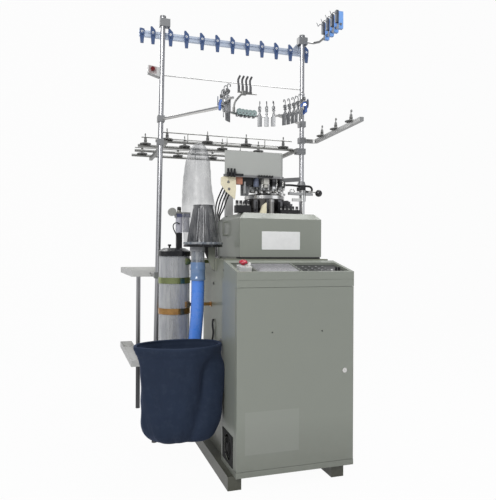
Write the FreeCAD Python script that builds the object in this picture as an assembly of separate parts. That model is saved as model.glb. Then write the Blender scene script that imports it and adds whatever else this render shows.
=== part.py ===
import FreeCAD
import Part
import math
import os

# Single-cylinder sock knitting machine: a control cabinet in front of a pedestal, the knitting
# head on top, the suction outlet, filter canister and sock bag on the left, and the yarn creel
# behind. Millimetres; +X to the machine's right, +Y to its rear, +Z up from the floor.

V = FreeCAD.Vector
UP = V(0, 0, 1)

# ---- driving dimensions: base, cabinet and pedestal ------------------------------------
GAP = 0.3                   # running and assembly gap between neighbouring pieces
FIT = 0.05                  # radial clearance of a pin or shaft in its hole
SHEET = 3.0                 # sheet-metal wall
RAIL_W = 65.5
RAIL_H = 66.0
RAIL_WALL = 5.0
RAIL_FRONT_Y = 35.0
RAIL_LENGTH = 700.0
RAIL_LEFT_X = -28.0
RAIL_RIGHT_X = 499.5

CAB_W = 600.0
CAB_D = 250.0
SILL_H = 27.0
DOOR_H = 845.0
HEADER_H = 33.0
DOOR_T = 18.0
DOOR_GAP = 1.5
HINGE_X = 8.0
HINGE_Y = 6.0
PIN_R = 3.0
PIN_L = 18.0
FRAME_LIP = 20.0            # front flange of the cabinet behind the door
LOCK_R = 10.0
LOCK_INSET = 50.0
LOCK_Z = 530.0
LOCK_ARM = 40.0

TRAY_FRONT_H = 39.0
TRAY_REAR_H = 89.0
TRAY_D = 224.0
TRAY_RIM = 18.0
TRAY_FRONT_RIM = 12.0
TRAY_REAR_RIM = 48.0
PIT_W = 86.0                # left pit with the stop button
PIT_DEEP = 28.0
PANEL_W = 222.0             # light middle panel
PANEL_DEEP = 7.0
KEYPAD_DEEP = 16.0
POCKET_WALL = 3.0
PANEL_T = 2.0
KEYPAD_T = 3.0
KEY_ROWS = 4
KEY_COLUMNS = 5
STOP_R = 21.0
STOP_TRAVEL = 5.0
KNOB_R = 6.0
KNOB_H = 18.0

FAN_Y = 136.0
FAN_Z = 168.0
FAN_R = 60.0
FAN_BLADES = 7
FAN_FRAME_W = 172.0
FAN_FRAME_H = 145.0

PED_LEFT_X = 18.0
PED_W = 564.0
PED_D = 470.0
PED_H = 1001.0
PED_TOP_T = 8.0
PLINTH_H = 10.0

# ---- driving dimensions: knitting head --------------------------------------------------
HOUSING_LEFT_X = 94.0
HOUSING_W = 453.0
HOUSING_FRONT_Y = 260.0
HOUSING_D = 440.0
HOUSING_H = 228.0
HOUSING_WALL = 5.0
HOUSING_CHAMFER = 30.0
AXIS_X = 310.0              # needle cylinder axis
AXIS_Y = 500.0
DRIVE_R = 45.0
DRIVE_BORE_R = 38.0
DRIVE_PULLEY_R = 75.0
MOTOR_PULLEY_R = 30.0
MOTOR_DX = 140.0
MOTOR_DY = 100.0
MOTOR_W = 90.0
MOTOR_L = 180.0
MOTOR_SHAFT_R = 9.5
BELT_W = 20.0
BELT_T = 4.0
BELT_LIFT = 45.0            # pulleys above the housing's floor
CAM_FLANGE_R = 150.0
CAM_FLANGE_T = 12.0
CAM_R = 108.0
CAM_H = 87.0
CYL_R = 54.0
CYL_H = 67.0
TRICKS = 36
TRICK_W = 1.4
TRICK_DEEP = 3.2
NEEDLE_T = 1.0
SINKER_R = 112.0
SINKER_T = 26.0
DIAL_R = 50.0
DIAL_SHAFT_R = 10.0
CARRIER_R = 75.0
FINGERS = 6
HEAD_PLATE_LIFT = 191.0     # underside of the head plate above the housing
HEAD_PLATE_T = 12.0
CAN_LEFT_X = 40.0           # can cover: flat front, round back over the dial drive
CAN_W = 331.0
CAN_FRONT_Y = 360.0
CAN_H = 125.0
CAN_WALL = 2.5
CAN_CORNER_R = 34.0
CAN_BACK_X = 290.0
CAN_BACK_Y = 500.0
CAN_BACK_R = 100.0
POST_W = 40.0               # grey square column of the head
COLUMN_R = 18.0
ARM_COLUMN_X = 500.0
ARM_COLUMN_Y = 400.0
ARM_COLUMN_R = 11.0
ARM_LIFT = 112.0            # swing arm above the housing
BALL_R = 19.5

# ---- driving dimensions: suction outlet, canister and bag -------------------------------
FLANGE_X = -47.0
FLANGE_Y = 470.0
FLANGE_R = 104.0
FLANGE_T = 10.0
FLANGE_Z = 1128.0
CONE_BOTTOM_R = 88.0
CONE_TOP_R = 51.0
CONE_H = 213.0
FILM = 1.5
# height above the flange, sideways lean and radius of the film sleeve
SLEEVE_RINGS = ((0, 0, 103), (60, -8, 98), (190, -24, 90), (320, -34, 76), (440, -31, 64), (495, -28, 50),
                (530, -24, 34), (543, -22, 14))
SLEEVE_SIDES = 24
TUBE_X = -75.0
TUBE_R = 35.5
TUBE_WALL = 2.5
TUBE_BOTTOM_Z = 1045.0
HOSE_R = 35.0
HOSE_WALL = 3.0
HOSE_ROUTE = ((-75, 470, 1044), (-72, 471, 860), (-84, 482, 640), (-97, 488, 520), (-97, 488, 430))
CUFF_L = 52.0
ELBOW_R = 38.0
ELBOW_BORE_R = 30.0
HOSE_SEAT = 0.9             # joint gap under the hose, whose end is cut square to its own lean

CANISTER_X = -175.0
CANISTER_Y = 610.0
CANISTER_R = 85.0
CANISTER_WALL = 3.0
CANISTER_BOTTOM_Z = 395.0
CANISTER_TOP_Z = 1094.0
FILTER_R = 72.0
LID_R = 92.0
LID_H = 36.0
BAND_T = 2.5
BAND_H = 32.0
BAND_Z = (929.0, 763.0)
ARM_Z = (1048.0, 814.0)
REGULATOR_X = -150.0

BAG_X = -219.0              # oval bag: long half axis across, short one front to back
BAG_Y = 255.0
BAG_RIM_Z = 651.0
BAG_BOTTOM_Z = 186.0
BAG_SIDES = 28
HOOP_A = 206.0
HOOP_B = 141.0
HOOP_T = 5.0
HOOP_H = 14.0
CLOTH = 3.0

# ---- driving dimensions: creel ----------------------------------------------------------
POST_R = 15.0
POST_BORE_R = 12.5
POST_H = 2463.0
POST_LEFT_X = -254.0
POST_LEAN = 0.015            # sideways lean of the left post as assembled
POST_RIGHT_X = 663.0
POST_Y = 790.0
LEG_X = -262.0
LEG_Y = 1520.0
CLAMP_W = 40.0
CLAMP_H = 36.0

TRAY_X = -360.0
TRAY_Y = 1046.0
TRAY_L = 754.0
TRAY_H = 40.0
UPPER_TRAY_W = 255.0
UPPER_TRAY_Z = 945.0
LOWER_TRAY_Z = 388.0

BAR_LEFT_X = -351.0
BAR_L = 1066.0
BAR_Z = 2348.0
BAR_H = 35.0
BAR_D = 20.0
GUIDE_W = 28.0
GUIDE_H = 82.0
GUIDE_T = 8.0
GUIDE_PITCH = 94.7
RACK_Z = 1754.0
RACK_RAIL_R = 9.0
ROWS = ((840.0, -180.0, -248.0), (1020.0, -284.0, -330.0), (1370.0, -260.0, -330.0))   # y, first holder, rail end
BARE_ROW_Y = 1190.0
HOLDER_PITCH = 244.0
HOLDER_R = 35.0
HOLDER_H = 66.0
RING_R = 220.0
RING_X = 240.0
RING_Y = 330.0
RING_Z = 1872.0
RING_BAR = 10.0
RING_HALF_ANGLE = 118.0
SENSOR_X = 765.0
SENSOR_Z = 2430.0
SENSOR_PITCH = 59.0
LOWER_ARM_X = 757.0
LOWER_ARM_Z = 1806.0
LOWER_ARM_RISE = 12.0
LOWER_ARM_END_Y = 206.0

# ---- levels and places worked out from the driving dimensions --------------------------
CAB_BOTTOM = RAIL_H
DOOR_BOTTOM = CAB_BOTTOM + SILL_H + DOOR_GAP
DOOR_TOP = DOOR_BOTTOM + DOOR_H - 2 * DOOR_GAP
CAB_TOP = CAB_BOTTOM + SILL_H + DOOR_H + HEADER_H
TRAY_BOTTOM = CAB_TOP
TRAY_FRONT_Z = TRAY_BOTTOM + TRAY_FRONT_H
SLOPE = math.degrees(math.atan2(TRAY_REAR_H - TRAY_FRONT_H, TRAY_D))
DOOR_SWEEP_R = math.hypot(HINGE_X - DOOR_GAP, DOOR_T - HINGE_Y)
POCKET_Y = HINGE_Y + DOOR_SWEEP_R + 1.0
PED_Y = CAB_D + 1.0
PED_TOP = RAIL_H + PED_H
HOUSING_Z = PED_TOP + PLINTH_H
DECK = HOUSING_Z + HOUSING_H
BELT_Z = HOUSING_Z + BELT_LIFT
CAM_TOP = DECK + CAM_H
DRIVE_TOP = DECK + 30.0
CYL_TOP = DRIVE_TOP + CYL_H
PLATE_Z = DECK + HEAD_PLATE_LIFT
PLATE_TOP = PLATE_Z + HEAD_PLATE_T
PLATE_MARGIN = 5.0
CAN_RIGHT_X = CAN_LEFT_X + CAN_W
ARM_Z0 = DECK + ARM_LIFT
CONE_Z = FLANGE_Z + FLANGE_T
BRACKET_X = PED_LEFT_X
HOOP_TOP = BAG_RIM_Z - CLOTH - GAP


# ---- shape helpers ----------------------------------------------------------------------
def box(x0, x1, y0, y1, z0, z1):
    """A box between two corners."""
    return Part.makeBox(x1 - x0, y1 - y0, z1 - z0, V(x0, y0, z0))


def disc(x, y, z0, z1, r):
    """An upright cylinder from height z0 to z1."""
    return Part.makeCylinder(r, z1 - z0, V(x, y, z0), UP)


def ring(x, y, z0, z1, r_out, r_in):
    """An upright tube."""
    return disc(x, y, z0, z1, r_out).cut(disc(x, y, z0 - 1, z1 + 1, r_in))


def rod(start, end, r):
    """A round bar between two points."""
    a = V(*start)
    run = V(*end) - a
    return Part.makeCylinder(r, run.Length, a, run)


def join(shapes):
    """Shapes welded into one solid."""
    first = shapes[0]
    rest = list(shapes[1:])
    if not rest:
        return first
    return first.fuse(rest).removeSplitter()


def prism(points, direction):
    """A flat outline of 3-D points pushed along a direction."""
    corners = [V(*p) for p in points]
    corners.append(corners[0])
    return Part.Face(Part.makePolygon(corners)).extrude(V(*direction))


def turned(x, y, profile):
    """An outline of (radius, height) points turned about the upright axis at x, y."""
    corners = [V(x + r, y, z) for r, z in profile]
    corners.append(corners[0])
    return Part.Face(Part.makePolygon(corners)).revolve(V(x, y, 0), UP, 360)


def polygon_at(centre, direction, r, sides):
    """A regular outline across a direction, used as the section of bent wire."""
    normal = V(*direction).normalize()
    side = normal.cross(UP)
    if side.Length < 0.1:
        side = V(1, 0, 0)
    side.normalize()
    other = normal.cross(side)
    corners = []
    for i in range(sides + 1):
        angle = 2 * math.pi * i / sides
        corners.append(V(*centre) + side * (r * math.cos(angle)) + other * (r * math.sin(angle)))
    return Part.makePolygon(corners)


def bent_wire(points, r, sides=6):
    """Straight wire runs with mitred bends."""
    path = Part.makePolygon([V(*p) for p in points])
    start = V(*points[0])
    section = polygon_at(points[0], tuple(V(*points[1]) - start), r, sides)
    return path.makePipeShell([section], True, False, 1)


def smooth_path(points, name):
    """Runs joined by tangent arcs, each as large as its two runs allow."""
    corners = [V(*p) for p in points]
    edges = []
    start = corners[0]
    tightest = 1e9
    for i in range(1, len(corners) - 1):
        into = corners[i] - corners[i - 1]
        out = corners[i + 1] - corners[i]
        turn = into.getAngle(out)
        cut = 0.45 * min(into.Length, out.Length)
        radius = cut / math.tan(turn / 2)
        tightest = min(tightest, radius)
        a = corners[i] - into.normalize() * cut
        b = corners[i] + out.normalize() * cut
        half = (a + b) * 0.5 - corners[i]
        middle = corners[i] + half.normalize() * (math.hypot(radius, cut) - radius)
        edges.append(Part.LineSegment(start, a).toShape())
        edges.append(Part.Arc(a, middle, b).toShape())
        start = b
    edges.append(Part.LineSegment(start, corners[-1]).toShape())
    print(name, "tightest bend radius", round(tightest, 1))
    return Part.Wire(edges)


def tube_along(points, r, name, sides, r_in=0.0):
    """A hose or cable along a smooth path, hollow where it has a bore."""
    path = smooth_path(points, name)
    run = tuple(V(*points[1]) - V(*points[0]))
    section = polygon_at(points[0], run, r, sides)
    outer = path.makePipeShell([section], True, False, 0)
    print(name, "volume over section times length", round(outer.Volume / Part.Face(section).Area / path.Length, 4))
    if r_in:
        outer = outer.cut(path.makePipeShell([polygon_at(points[0], run, r_in, sides)], True, False, 0))
    return outer


def facet_loft(rings, sides, squash=1.0):
    """Flat facets through level many-sided rings given as (x, y, z, r); squash shortens them front to back."""
    corners = []
    for x, y, z, r in rings:
        row = []
        for i in range(sides):
            angle = 2 * math.pi * i / sides
            row.append(V(x + r * math.cos(angle), y + squash * r * math.sin(angle), z))
        corners.append(row)
    faces = [Part.Face(Part.makePolygon(row + row[:1])) for row in (corners[0], corners[-1])]
    for low, high in zip(corners, corners[1:]):
        for i in range(sides):
            j = (i + 1) % sides
            faces.append(Part.Face(Part.makePolygon([low[i], low[j], high[j], high[i], low[i]])))
    shell = Part.makeShell(faces)
    shell.sewShape()
    solid = Part.makeSolid(shell)
    if solid.Volume < 0:
        solid.reverse()
    return solid


def many_sided(x, y, z0, z1, r, sides):
    """An upright bar with flat sides."""
    corners = []
    for i in range(sides):
        angle = 2 * math.pi * (i + 0.5) / sides
        corners.append((x + r * math.cos(angle), y + r * math.sin(angle), z0))
    return prism(corners, (0, 0, z1 - z0))


def upright_edges(shape):
    """The edges of a shape that run straight up."""
    found = []
    for edge in shape.Edges:
        run = edge.Vertexes[-1].Point - edge.Vertexes[0].Point
        if math.hypot(run.x, run.y) < 1e-6 and abs(run.z) > 1:
            found.append(edge)
    return found


def turn_about(shape, x, y, degrees):
    """A copy turned about the upright axis at x, y."""
    copy = shape.copy()
    copy.rotate(V(x, y, 0), UP, degrees)
    return copy


# ---- base, pedestal and cabinet ----------------------------------------------------------
def skid(x0):
    """A box-section skid rail, closed in front and open at the rear."""
    y1 = RAIL_FRONT_Y + RAIL_LENGTH
    outer = box(x0, x0 + RAIL_W, RAIL_FRONT_Y, y1, 0, RAIL_H)
    w = RAIL_WALL
    return outer.cut(box(x0 + w, x0 + RAIL_W - w, RAIL_FRONT_Y + w, y1 + 1, w, RAIL_H - w))


def base_rails():
    return Part.makeCompound([skid(RAIL_LEFT_X), skid(RAIL_RIGHT_X)])


def inlet_elbow():
    """A mitred duct elbow from the hose's lower end into the pedestal's left side, and its bore."""
    x, y, z = HOSE_ROUTE[-1]
    low = z - 100
    route = ((x, y, z), (x, y, low + 45), (x + 45, y, low), (PED_LEFT_X + 1, y, low))
    beyond = ((x, y, z + 1), (x, y, low + 45), (x + 45, y, low), (PED_LEFT_X + 6, y, low))
    flange = rod((PED_LEFT_X - 6, y, low), (PED_LEFT_X + 1, y, low), ELBOW_R + 14)
    route = ((x, y, z - HOSE_SEAT),) + route[1:]
    outer = bent_wire(route, ELBOW_R, 16)
    return outer.fuse(flange), bent_wire(beyond, ELBOW_BORE_R, 12)


def pedestal_frame():
    """The welded stand: side, front and rear sheets under a thick top plate with the plinth."""
    x0 = PED_LEFT_X
    x1 = x0 + PED_W
    y1 = PED_Y + PED_D
    outer = box(x0, x1, PED_Y, y1, RAIL_H, PED_TOP)
    inner = box(x0 + SHEET, x1 - SHEET, PED_Y + SHEET, y1 - SHEET, RAIL_H + SHEET, PED_TOP - PED_TOP_T)
    inset = 8.0
    plinth = box(HOUSING_LEFT_X + inset, HOUSING_LEFT_X + HOUSING_W - inset, HOUSING_FRONT_Y + inset,
                 HOUSING_FRONT_Y + HOUSING_D - inset, PED_TOP - 1, HOUSING_Z)
    elbow, bore = inlet_elbow()
    shaft_hole = disc(AXIS_X + MOTOR_DX, AXIS_Y + MOTOR_DY, PED_TOP - 20, HOUSING_Z + 5, MOTOR_SHAFT_R + 12)
    shell = outer.cut(inner)
    return join([shell, plinth, elbow]).cut(bore).cut(shaft_hole)


def control_cabinet():
    """The cabinet: sheet box with sill, header and a flanged front opening."""
    outer = box(0, CAB_W, 0, CAB_D, CAB_BOTTOM, CAB_TOP)
    pocket = box(-1, CAB_W + 1, -1, POCKET_Y, CAB_BOTTOM + SILL_H, CAB_TOP - HEADER_H)
    lip_t = 2.0
    inner = box(SHEET, CAB_W - SHEET, POCKET_Y + lip_t, CAB_D - SHEET, CAB_BOTTOM + SHEET, CAB_TOP - SHEET)
    opening = box(FRAME_LIP, CAB_W - FRAME_LIP, -1, POCKET_Y + lip_t + 1, CAB_BOTTOM + SILL_H + FRAME_LIP,
                  CAB_TOP - HEADER_H - FRAME_LIP)
    fan_hole = rod((-1, FAN_Y, FAN_Z), (SHEET + 1, FAN_Y, FAN_Z), FAN_R + 2)
    shell = outer.cut(pocket).cut(inner).cut(opening).cut(fan_hole)
    sill = CAB_BOTTOM + SILL_H
    header = CAB_TOP - HEADER_H
    pins = [disc(HINGE_X, HINGE_Y, sill - 5, sill + PIN_L, PIN_R), disc(HINGE_X, HINGE_Y, header - PIN_L, header + 5, PIN_R)]
    return join([shell] + pins)


def cabinet_door():
    """A folded door pan with a bush block at each end of its hinge edge."""
    x0 = DOOR_GAP
    x1 = CAB_W - DOOR_GAP
    t = 2.0
    pan = box(x0, x1, 0, DOOR_T, DOOR_BOTTOM, DOOR_TOP)
    pan = pan.cut(box(x0 + t, x1 - t, t, DOOR_T + 1, DOOR_BOTTOM + t, DOOR_TOP - t))
    block_l = PIN_L + 6
    block_x = 2 * HINGE_X - x0
    low = box(x0, block_x, 0, DOOR_T, DOOR_BOTTOM, DOOR_BOTTOM + block_l)
    high = box(x0, block_x, 0, DOOR_T, DOOR_TOP - block_l, DOOR_TOP)
    door = join([pan, low, high])
    bore_r = PIN_R + FIT
    door = door.cut(disc(HINGE_X, HINGE_Y, DOOR_BOTTOM - 1, DOOR_BOTTOM + PIN_L, bore_r))
    door = door.cut(disc(HINGE_X, HINGE_Y, DOOR_TOP - PIN_L, DOOR_TOP + 1, bore_r))
    return door.cut(rod((CAB_W - LOCK_INSET, -1, LOCK_Z), (CAB_W - LOCK_INSET, t + 1, LOCK_Z), LOCK_R))


def door_lock():
    """A cam lock: keyed head, barrel and a tongue that turns behind the cabinet's flange."""
    x = CAB_W - LOCK_INSET
    head_t = 3.0
    tongue_y = POCKET_Y + 2.0 + 0.7
    head = rod((x, -head_t - GAP, LOCK_Z), (x, -GAP, LOCK_Z), LOCK_R + 2)
    barrel = rod((x, -GAP - 0.5, LOCK_Z), (x, tongue_y + 2, LOCK_Z), LOCK_R - FIT)
    tongue = box(x - 8, x + 8, tongue_y, tongue_y + 2, LOCK_Z - LOCK_ARM, LOCK_Z + 8)
    key_slot = box(x - 0.8, x + 0.8, -head_t - GAP - 1, -GAP - 0.5, LOCK_Z - 5, LOCK_Z + 5)
    return join([head, barrel, tongue]).cut(key_slot)


def on_slope(shape):
    """Moves a shape from the console's own plane (x, up the slope, outwards) to its place."""
    placed = shape.copy()
    placed.rotate(V(0, 0, 0), V(1, 0, 0), SLOPE)
    placed.translate(V(0, 0, TRAY_FRONT_Z))
    return placed


PIT_X = TRAY_RIM
PANEL_X = PIT_X + PIT_W + POCKET_WALL
KEYPAD_X = PANEL_X + PANEL_W + POCKET_WALL
KEYPAD_END = CAB_W - TRAY_RIM
SLOPE_FRONT = TRAY_FRONT_RIM
SLOPE_REAR = math.hypot(TRAY_D, TRAY_REAR_H - TRAY_FRONT_H) - TRAY_REAR_RIM


def console_tray():
    """The sloping console: a hollow wedge with three sunk pockets inside its rim."""
    side = ((0, 0, TRAY_BOTTOM), (0, 0, TRAY_FRONT_Z), (0, TRAY_D, TRAY_BOTTOM + TRAY_REAR_H), (0, TRAY_D, TRAY_BOTTOM))
    wedge = prism(side, (CAB_W, 0, 0))
    top = 60.0
    pit = box(PIT_X, PIT_X + PIT_W, SLOPE_FRONT, SLOPE_REAR, -PIT_DEEP, top)
    panel = box(PANEL_X, PANEL_X + PANEL_W, SLOPE_FRONT, SLOPE_REAR, -PANEL_DEEP, top)
    keypad = box(KEYPAD_X, KEYPAD_END, SLOPE_FRONT, SLOPE_REAR, -KEYPAD_DEEP, top)
    skin = PIT_DEEP + SHEET
    under = ((SHEET, SHEET, TRAY_BOTTOM - 1), (SHEET, SHEET, TRAY_FRONT_Z - skin),
             (SHEET, TRAY_D - SHEET, TRAY_BOTTOM + TRAY_REAR_H - skin), (SHEET, TRAY_D - SHEET, TRAY_BOTTOM - 1))
    hollow = prism(under, (CAB_W - 2 * SHEET, 0, 0))
    groove = box(-1, CAB_W + 1, -1, 1.5, TRAY_BOTTOM - 1, TRAY_BOTTOM + 1.5)
    cuts = [on_slope(pit), on_slope(panel), on_slope(keypad), hollow, groove]
    for piece in cuts:
        wedge = wedge.cut(piece)
    return wedge


def console_panel():
    """The light panel in the middle pocket."""
    edge = 0.5
    return on_slope(box(PANEL_X + edge, PANEL_X + PANEL_W - edge, SLOPE_FRONT + edge, SLOPE_REAR - edge,
                        -PANEL_DEEP, -PANEL_DEEP + PANEL_T))


KNOB_PLACES = ((KEYPAD_END - 46.0, 66.0), (KEYPAD_END - 30.0, 66.0))
KNOB_SHAFT_R = 3.0
KEYPAD_TOP = -KEYPAD_DEEP + KEYPAD_T


def keypad_panel():
    """The dark keypad: raised pads in rows, and two holes for the knobs."""
    edge = 0.5
    plate = box(KEYPAD_X + edge, KEYPAD_END - edge, SLOPE_FRONT + edge, SLOPE_REAR - edge, -KEYPAD_DEEP, KEYPAD_TOP)
    pads = []
    pitch_x = (KEYPAD_END - 70.0 - KEYPAD_X) / KEY_COLUMNS
    pitch_y = (SLOPE_REAR - SLOPE_FRONT - 30.0) / KEY_ROWS
    pad = 12.0
    for i in range(KEY_COLUMNS):
        for j in range(KEY_ROWS):
            x = KEYPAD_X + 14 + pitch_x * i
            y = SLOPE_FRONT + 18 + pitch_y * j
            pads.append(box(x, x + pad, y, y + pad, KEYPAD_TOP - 0.5, KEYPAD_TOP + 1.2))
    panel = join([plate] + pads)
    for x, y in KNOB_PLACES:
        panel = panel.cut(disc(x, y, -KEYPAD_DEEP - 1, KEYPAD_TOP + 1, KNOB_SHAFT_R + FIT))
    return on_slope(panel)


def console_knob(number):
    """A small fluted knob on its shaft in the keypad."""
    x, y = KNOB_PLACES[number]
    z0 = KEYPAD_TOP + GAP
    body = many_sided(x, y, z0, z0 + KNOB_H, KNOB_R, 12)
    pointer = box(x - 0.5, x + 0.5, y, y + KNOB_R + 1, z0 + KNOB_H - 0.6, z0 + KNOB_H + 1)
    shaft = disc(x, y, -KEYPAD_DEEP + GAP, z0 + 1, KNOB_SHAFT_R)
    return on_slope(join([body.cut(pointer), shaft]))


STOP_X = PIT_X + 44.0
STOP_Y = 108.0
STOP_BOX_TOP = 2.0
STOP_STEM_R = 8.0


def stop_box():
    """The white button box in the pit, with a raised collar and a small white boss beside it."""
    body = box(STOP_X - 24, STOP_X + 38, STOP_Y - 26, STOP_Y + 26, -PIT_DEEP, STOP_BOX_TOP)
    collar = many_sided(STOP_X, STOP_Y, STOP_BOX_TOP - 1, STOP_BOX_TOP + 5, 15, 16)
    boss = many_sided(STOP_X + 28, STOP_Y - 8, STOP_BOX_TOP - 1, STOP_BOX_TOP + 9, 9, 12)
    well = disc(STOP_X, STOP_Y, -PIT_DEEP + 4, STOP_BOX_TOP + 6, STOP_STEM_R + FIT)
    return on_slope(join([body, collar, boss]).cut(well))


def stop_button():
    """The red mushroom button with its stem."""
    z0 = STOP_BOX_TOP + 5 + STOP_TRAVEL + 2
    rings = ((z0, STOP_R - 4), (z0 + 4, STOP_R), (z0 + 9, STOP_R), (z0 + 15, STOP_R - 5), (z0 + 18, STOP_R - 12))
    cap = facet_loft([(STOP_X, STOP_Y, z, r) for z, r in rings], 20)
    stem = disc(STOP_X, STOP_Y, -PIT_DEEP + 4 + STOP_TRAVEL + 1, z0 + 1, STOP_STEM_R)
    return on_slope(join([cap, stem]))


def side_ring(x0, x1, r_out, r_in, sides):
    """A flat many-sided ring round the fan axis."""
    outline = []
    for r in (r_out, r_in):
        corners = []
        for i in range(sides):
            angle = 2 * math.pi * i / sides
            corners.append((x0, FAN_Y + r * math.cos(angle), FAN_Z + r * math.sin(angle)))
        outline.append(prism(corners, (x1 - x0, 0, 0)))
    return outline[0].cut(outline[1])


def fan_grille():
    """The black fan guard on the cabinet's left side: frame, rings, spokes and motor hub."""
    t = 3.0
    hub_r = 20.0
    frame = box(-t, 0, FAN_Y - FAN_FRAME_W / 2, FAN_Y + FAN_FRAME_W / 2, FAN_Z - FAN_FRAME_H / 2, FAN_Z + FAN_FRAME_H / 2)
    frame = frame.cut(rod((-t - 1, FAN_Y, FAN_Z), (1, FAN_Y, FAN_Z), FAN_R + 2))
    parts = [frame]
    for i in range(1, 3):
        r = hub_r + (FAN_R - hub_r) * i / 3
        parts.append(side_ring(-t, 0, r + 1.5, r - 1.5, 16))
    spoke = box(-t, 0, FAN_Y - 2, FAN_Y + 2, FAN_Z + hub_r - 2, FAN_Z + FAN_R + 3)
    for i in range(4):
        copy = spoke.copy()
        copy.rotate(V(0, FAN_Y, FAN_Z), V(1, 0, 0), 45 + 90 * i)
        parts.append(copy)
    parts.append(rod((-t, FAN_Y, FAN_Z), (SHEET + 4, FAN_Y, FAN_Z), hub_r))
    parts.append(rod((0, FAN_Y, FAN_Z), (SHEET + 26, FAN_Y, FAN_Z), PIN_R))
    return join(parts)


def fan_rotor():
    """The fan wheel: a hub with a bore and set blades."""
    x0 = SHEET + 5
    hub_l = 20.0
    hub = rod((x0, FAN_Y, FAN_Z), (x0 + hub_l, FAN_Y, FAN_Z), 22)
    parts = [hub]
    blade = box(x0 + 6, x0 + 8.5, FAN_Y - 11, FAN_Y + 11, FAN_Z + 18, FAN_Z + FAN_R - 4)
    blade.rotate(V(x0 + 7, FAN_Y, FAN_Z), UP, 35)
    for i in range(FAN_BLADES):
        copy = blade.copy()
        copy.rotate(V(x0, FAN_Y, FAN_Z), V(1, 0, 0), 360 * i / FAN_BLADES)
        parts.append(copy)
    return join(parts).cut(rod((x0 - 1, FAN_Y, FAN_Z), (x0 + hub_l + 1, FAN_Y, FAN_Z), PIN_R + FIT))


def controller_box():
    """The drive controller on the cabinet's rear wall, with cooling fins."""
    x0 = 0.3 * CAB_W
    x1 = 0.75 * CAB_W
    y1 = CAB_D - SHEET
    z0 = CAB_BOTTOM + 420
    z1 = z0 + 360
    body = box(x0, x1, y1 - 60, y1, z0, z1)
    fins = []
    pitch = (x1 - x0) / 9
    for i in range(1, 9):
        fins.append(box(x0 + pitch * i - 1.5, x0 + pitch * i + 1.5, y1 - 78, y1 - 59, z0 + 20, z1 - 120))
    return join([body] + fins)


# ---- drive --------------------------------------------------------------------------------
MOTOR_X = AXIS_X + MOTOR_DX
MOTOR_Y = AXIS_Y + MOTOR_DY


def main_motor():
    """The drive motor hanging under the pedestal's top plate."""
    z1 = PED_TOP - PED_TOP_T
    half = MOTOR_W / 2
    flange = box(MOTOR_X - half - 8, MOTOR_X + half + 8, MOTOR_Y - half - 8, MOTOR_Y + half + 8, z1 - 8, z1)
    body = box(MOTOR_X - half, MOTOR_X + half, MOTOR_Y - half, MOTOR_Y + half, z1 - 8 - MOTOR_L, z1 - 7)
    return join([flange, body]).cut(disc(MOTOR_X, MOTOR_Y, z1 - 30, z1 + 1, MOTOR_SHAFT_R + FIT))


def belt_pulley(x, y, r, shaft):
    """A flat pulley with a flange below the belt, made with its shaft."""
    wheel = disc(x, y, BELT_Z - 2, BELT_Z + BELT_W + 4, r)
    return join([wheel, shaft])


def motor_pulley():
    shaft = disc(MOTOR_X, MOTOR_Y, PED_TOP - PED_TOP_T - 28, BELT_Z + BELT_W + 12, MOTOR_SHAFT_R)
    return belt_pulley(MOTOR_X, MOTOR_Y, MOTOR_PULLEY_R, shaft)


def cylinder_drive():
    """The hollow drive shaft with its pulley, running in the cam box's bearing."""
    shaft = disc(AXIS_X, AXIS_Y, HOUSING_Z + 15, DRIVE_TOP, DRIVE_R)
    drive = belt_pulley(AXIS_X, AXIS_Y, DRIVE_PULLEY_R, shaft)
    return drive.cut(disc(AXIS_X, AXIS_Y, HOUSING_Z, DRIVE_TOP + 1, DRIVE_BORE_R))


def belt_loop(r_small, r_big, z0, z1):
    """The filled outline of a belt round both pulleys."""
    span = math.hypot(MOTOR_DX, MOTOR_DY)
    lean = math.asin((r_big - r_small) / span)
    points = []
    for sign in (1, -1):
        normal = V(math.sin(lean), sign * math.cos(lean), 0)
        points.append((normal * r_big, V(span, 0, 0) + normal * r_small))
    (a, b), (d, c) = points
    edges = [Part.LineSegment(a, b).toShape(), Part.Arc(b, V(span + r_small, 0, 0), c).toShape(),
             Part.LineSegment(c, d).toShape(), Part.Arc(d, V(-r_big, 0, 0), a).toShape()]
    loop = Part.Face(Part.Wire(edges)).extrude(V(0, 0, z1 - z0))
    loop.rotate(V(0, 0, 0), UP, math.degrees(math.atan2(MOTOR_DY, MOTOR_DX)))
    loop.translate(V(AXIS_X, AXIS_Y, z0))
    return loop


def drive_belt():
    z0 = BELT_Z + 2
    z1 = z0 + BELT_W
    outer = belt_loop(MOTOR_PULLEY_R + GAP + BELT_T, DRIVE_PULLEY_R + GAP + BELT_T, z0, z1)
    return outer.cut(belt_loop(MOTOR_PULLEY_R + GAP, DRIVE_PULLEY_R + GAP, z0 - 1, z1 + 2))


# ---- knitting head ------------------------------------------------------------------------
def chamfered(x0, x1, y0, y1, z0, z1, cut):
    """A box whose four top edges are cut at 45 degrees."""
    across = prism(((x0, y0, z0), (x0, y0, z1 - cut), (x0 + cut, y0, z1), (x1 - cut, y0, z1), (x1, y0, z1 - cut),
                    (x1, y0, z0)), (0, y1 - y0, 0))
    along = prism(((x0, y0, z0), (x0, y0, z1 - cut), (x0, y0 + cut, z1), (x0, y1 - cut, z1), (x0, y1, z1 - cut),
                   (x0, y1, z0)), (x1 - x0, 0, 0))
    return across.common(along)


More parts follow.
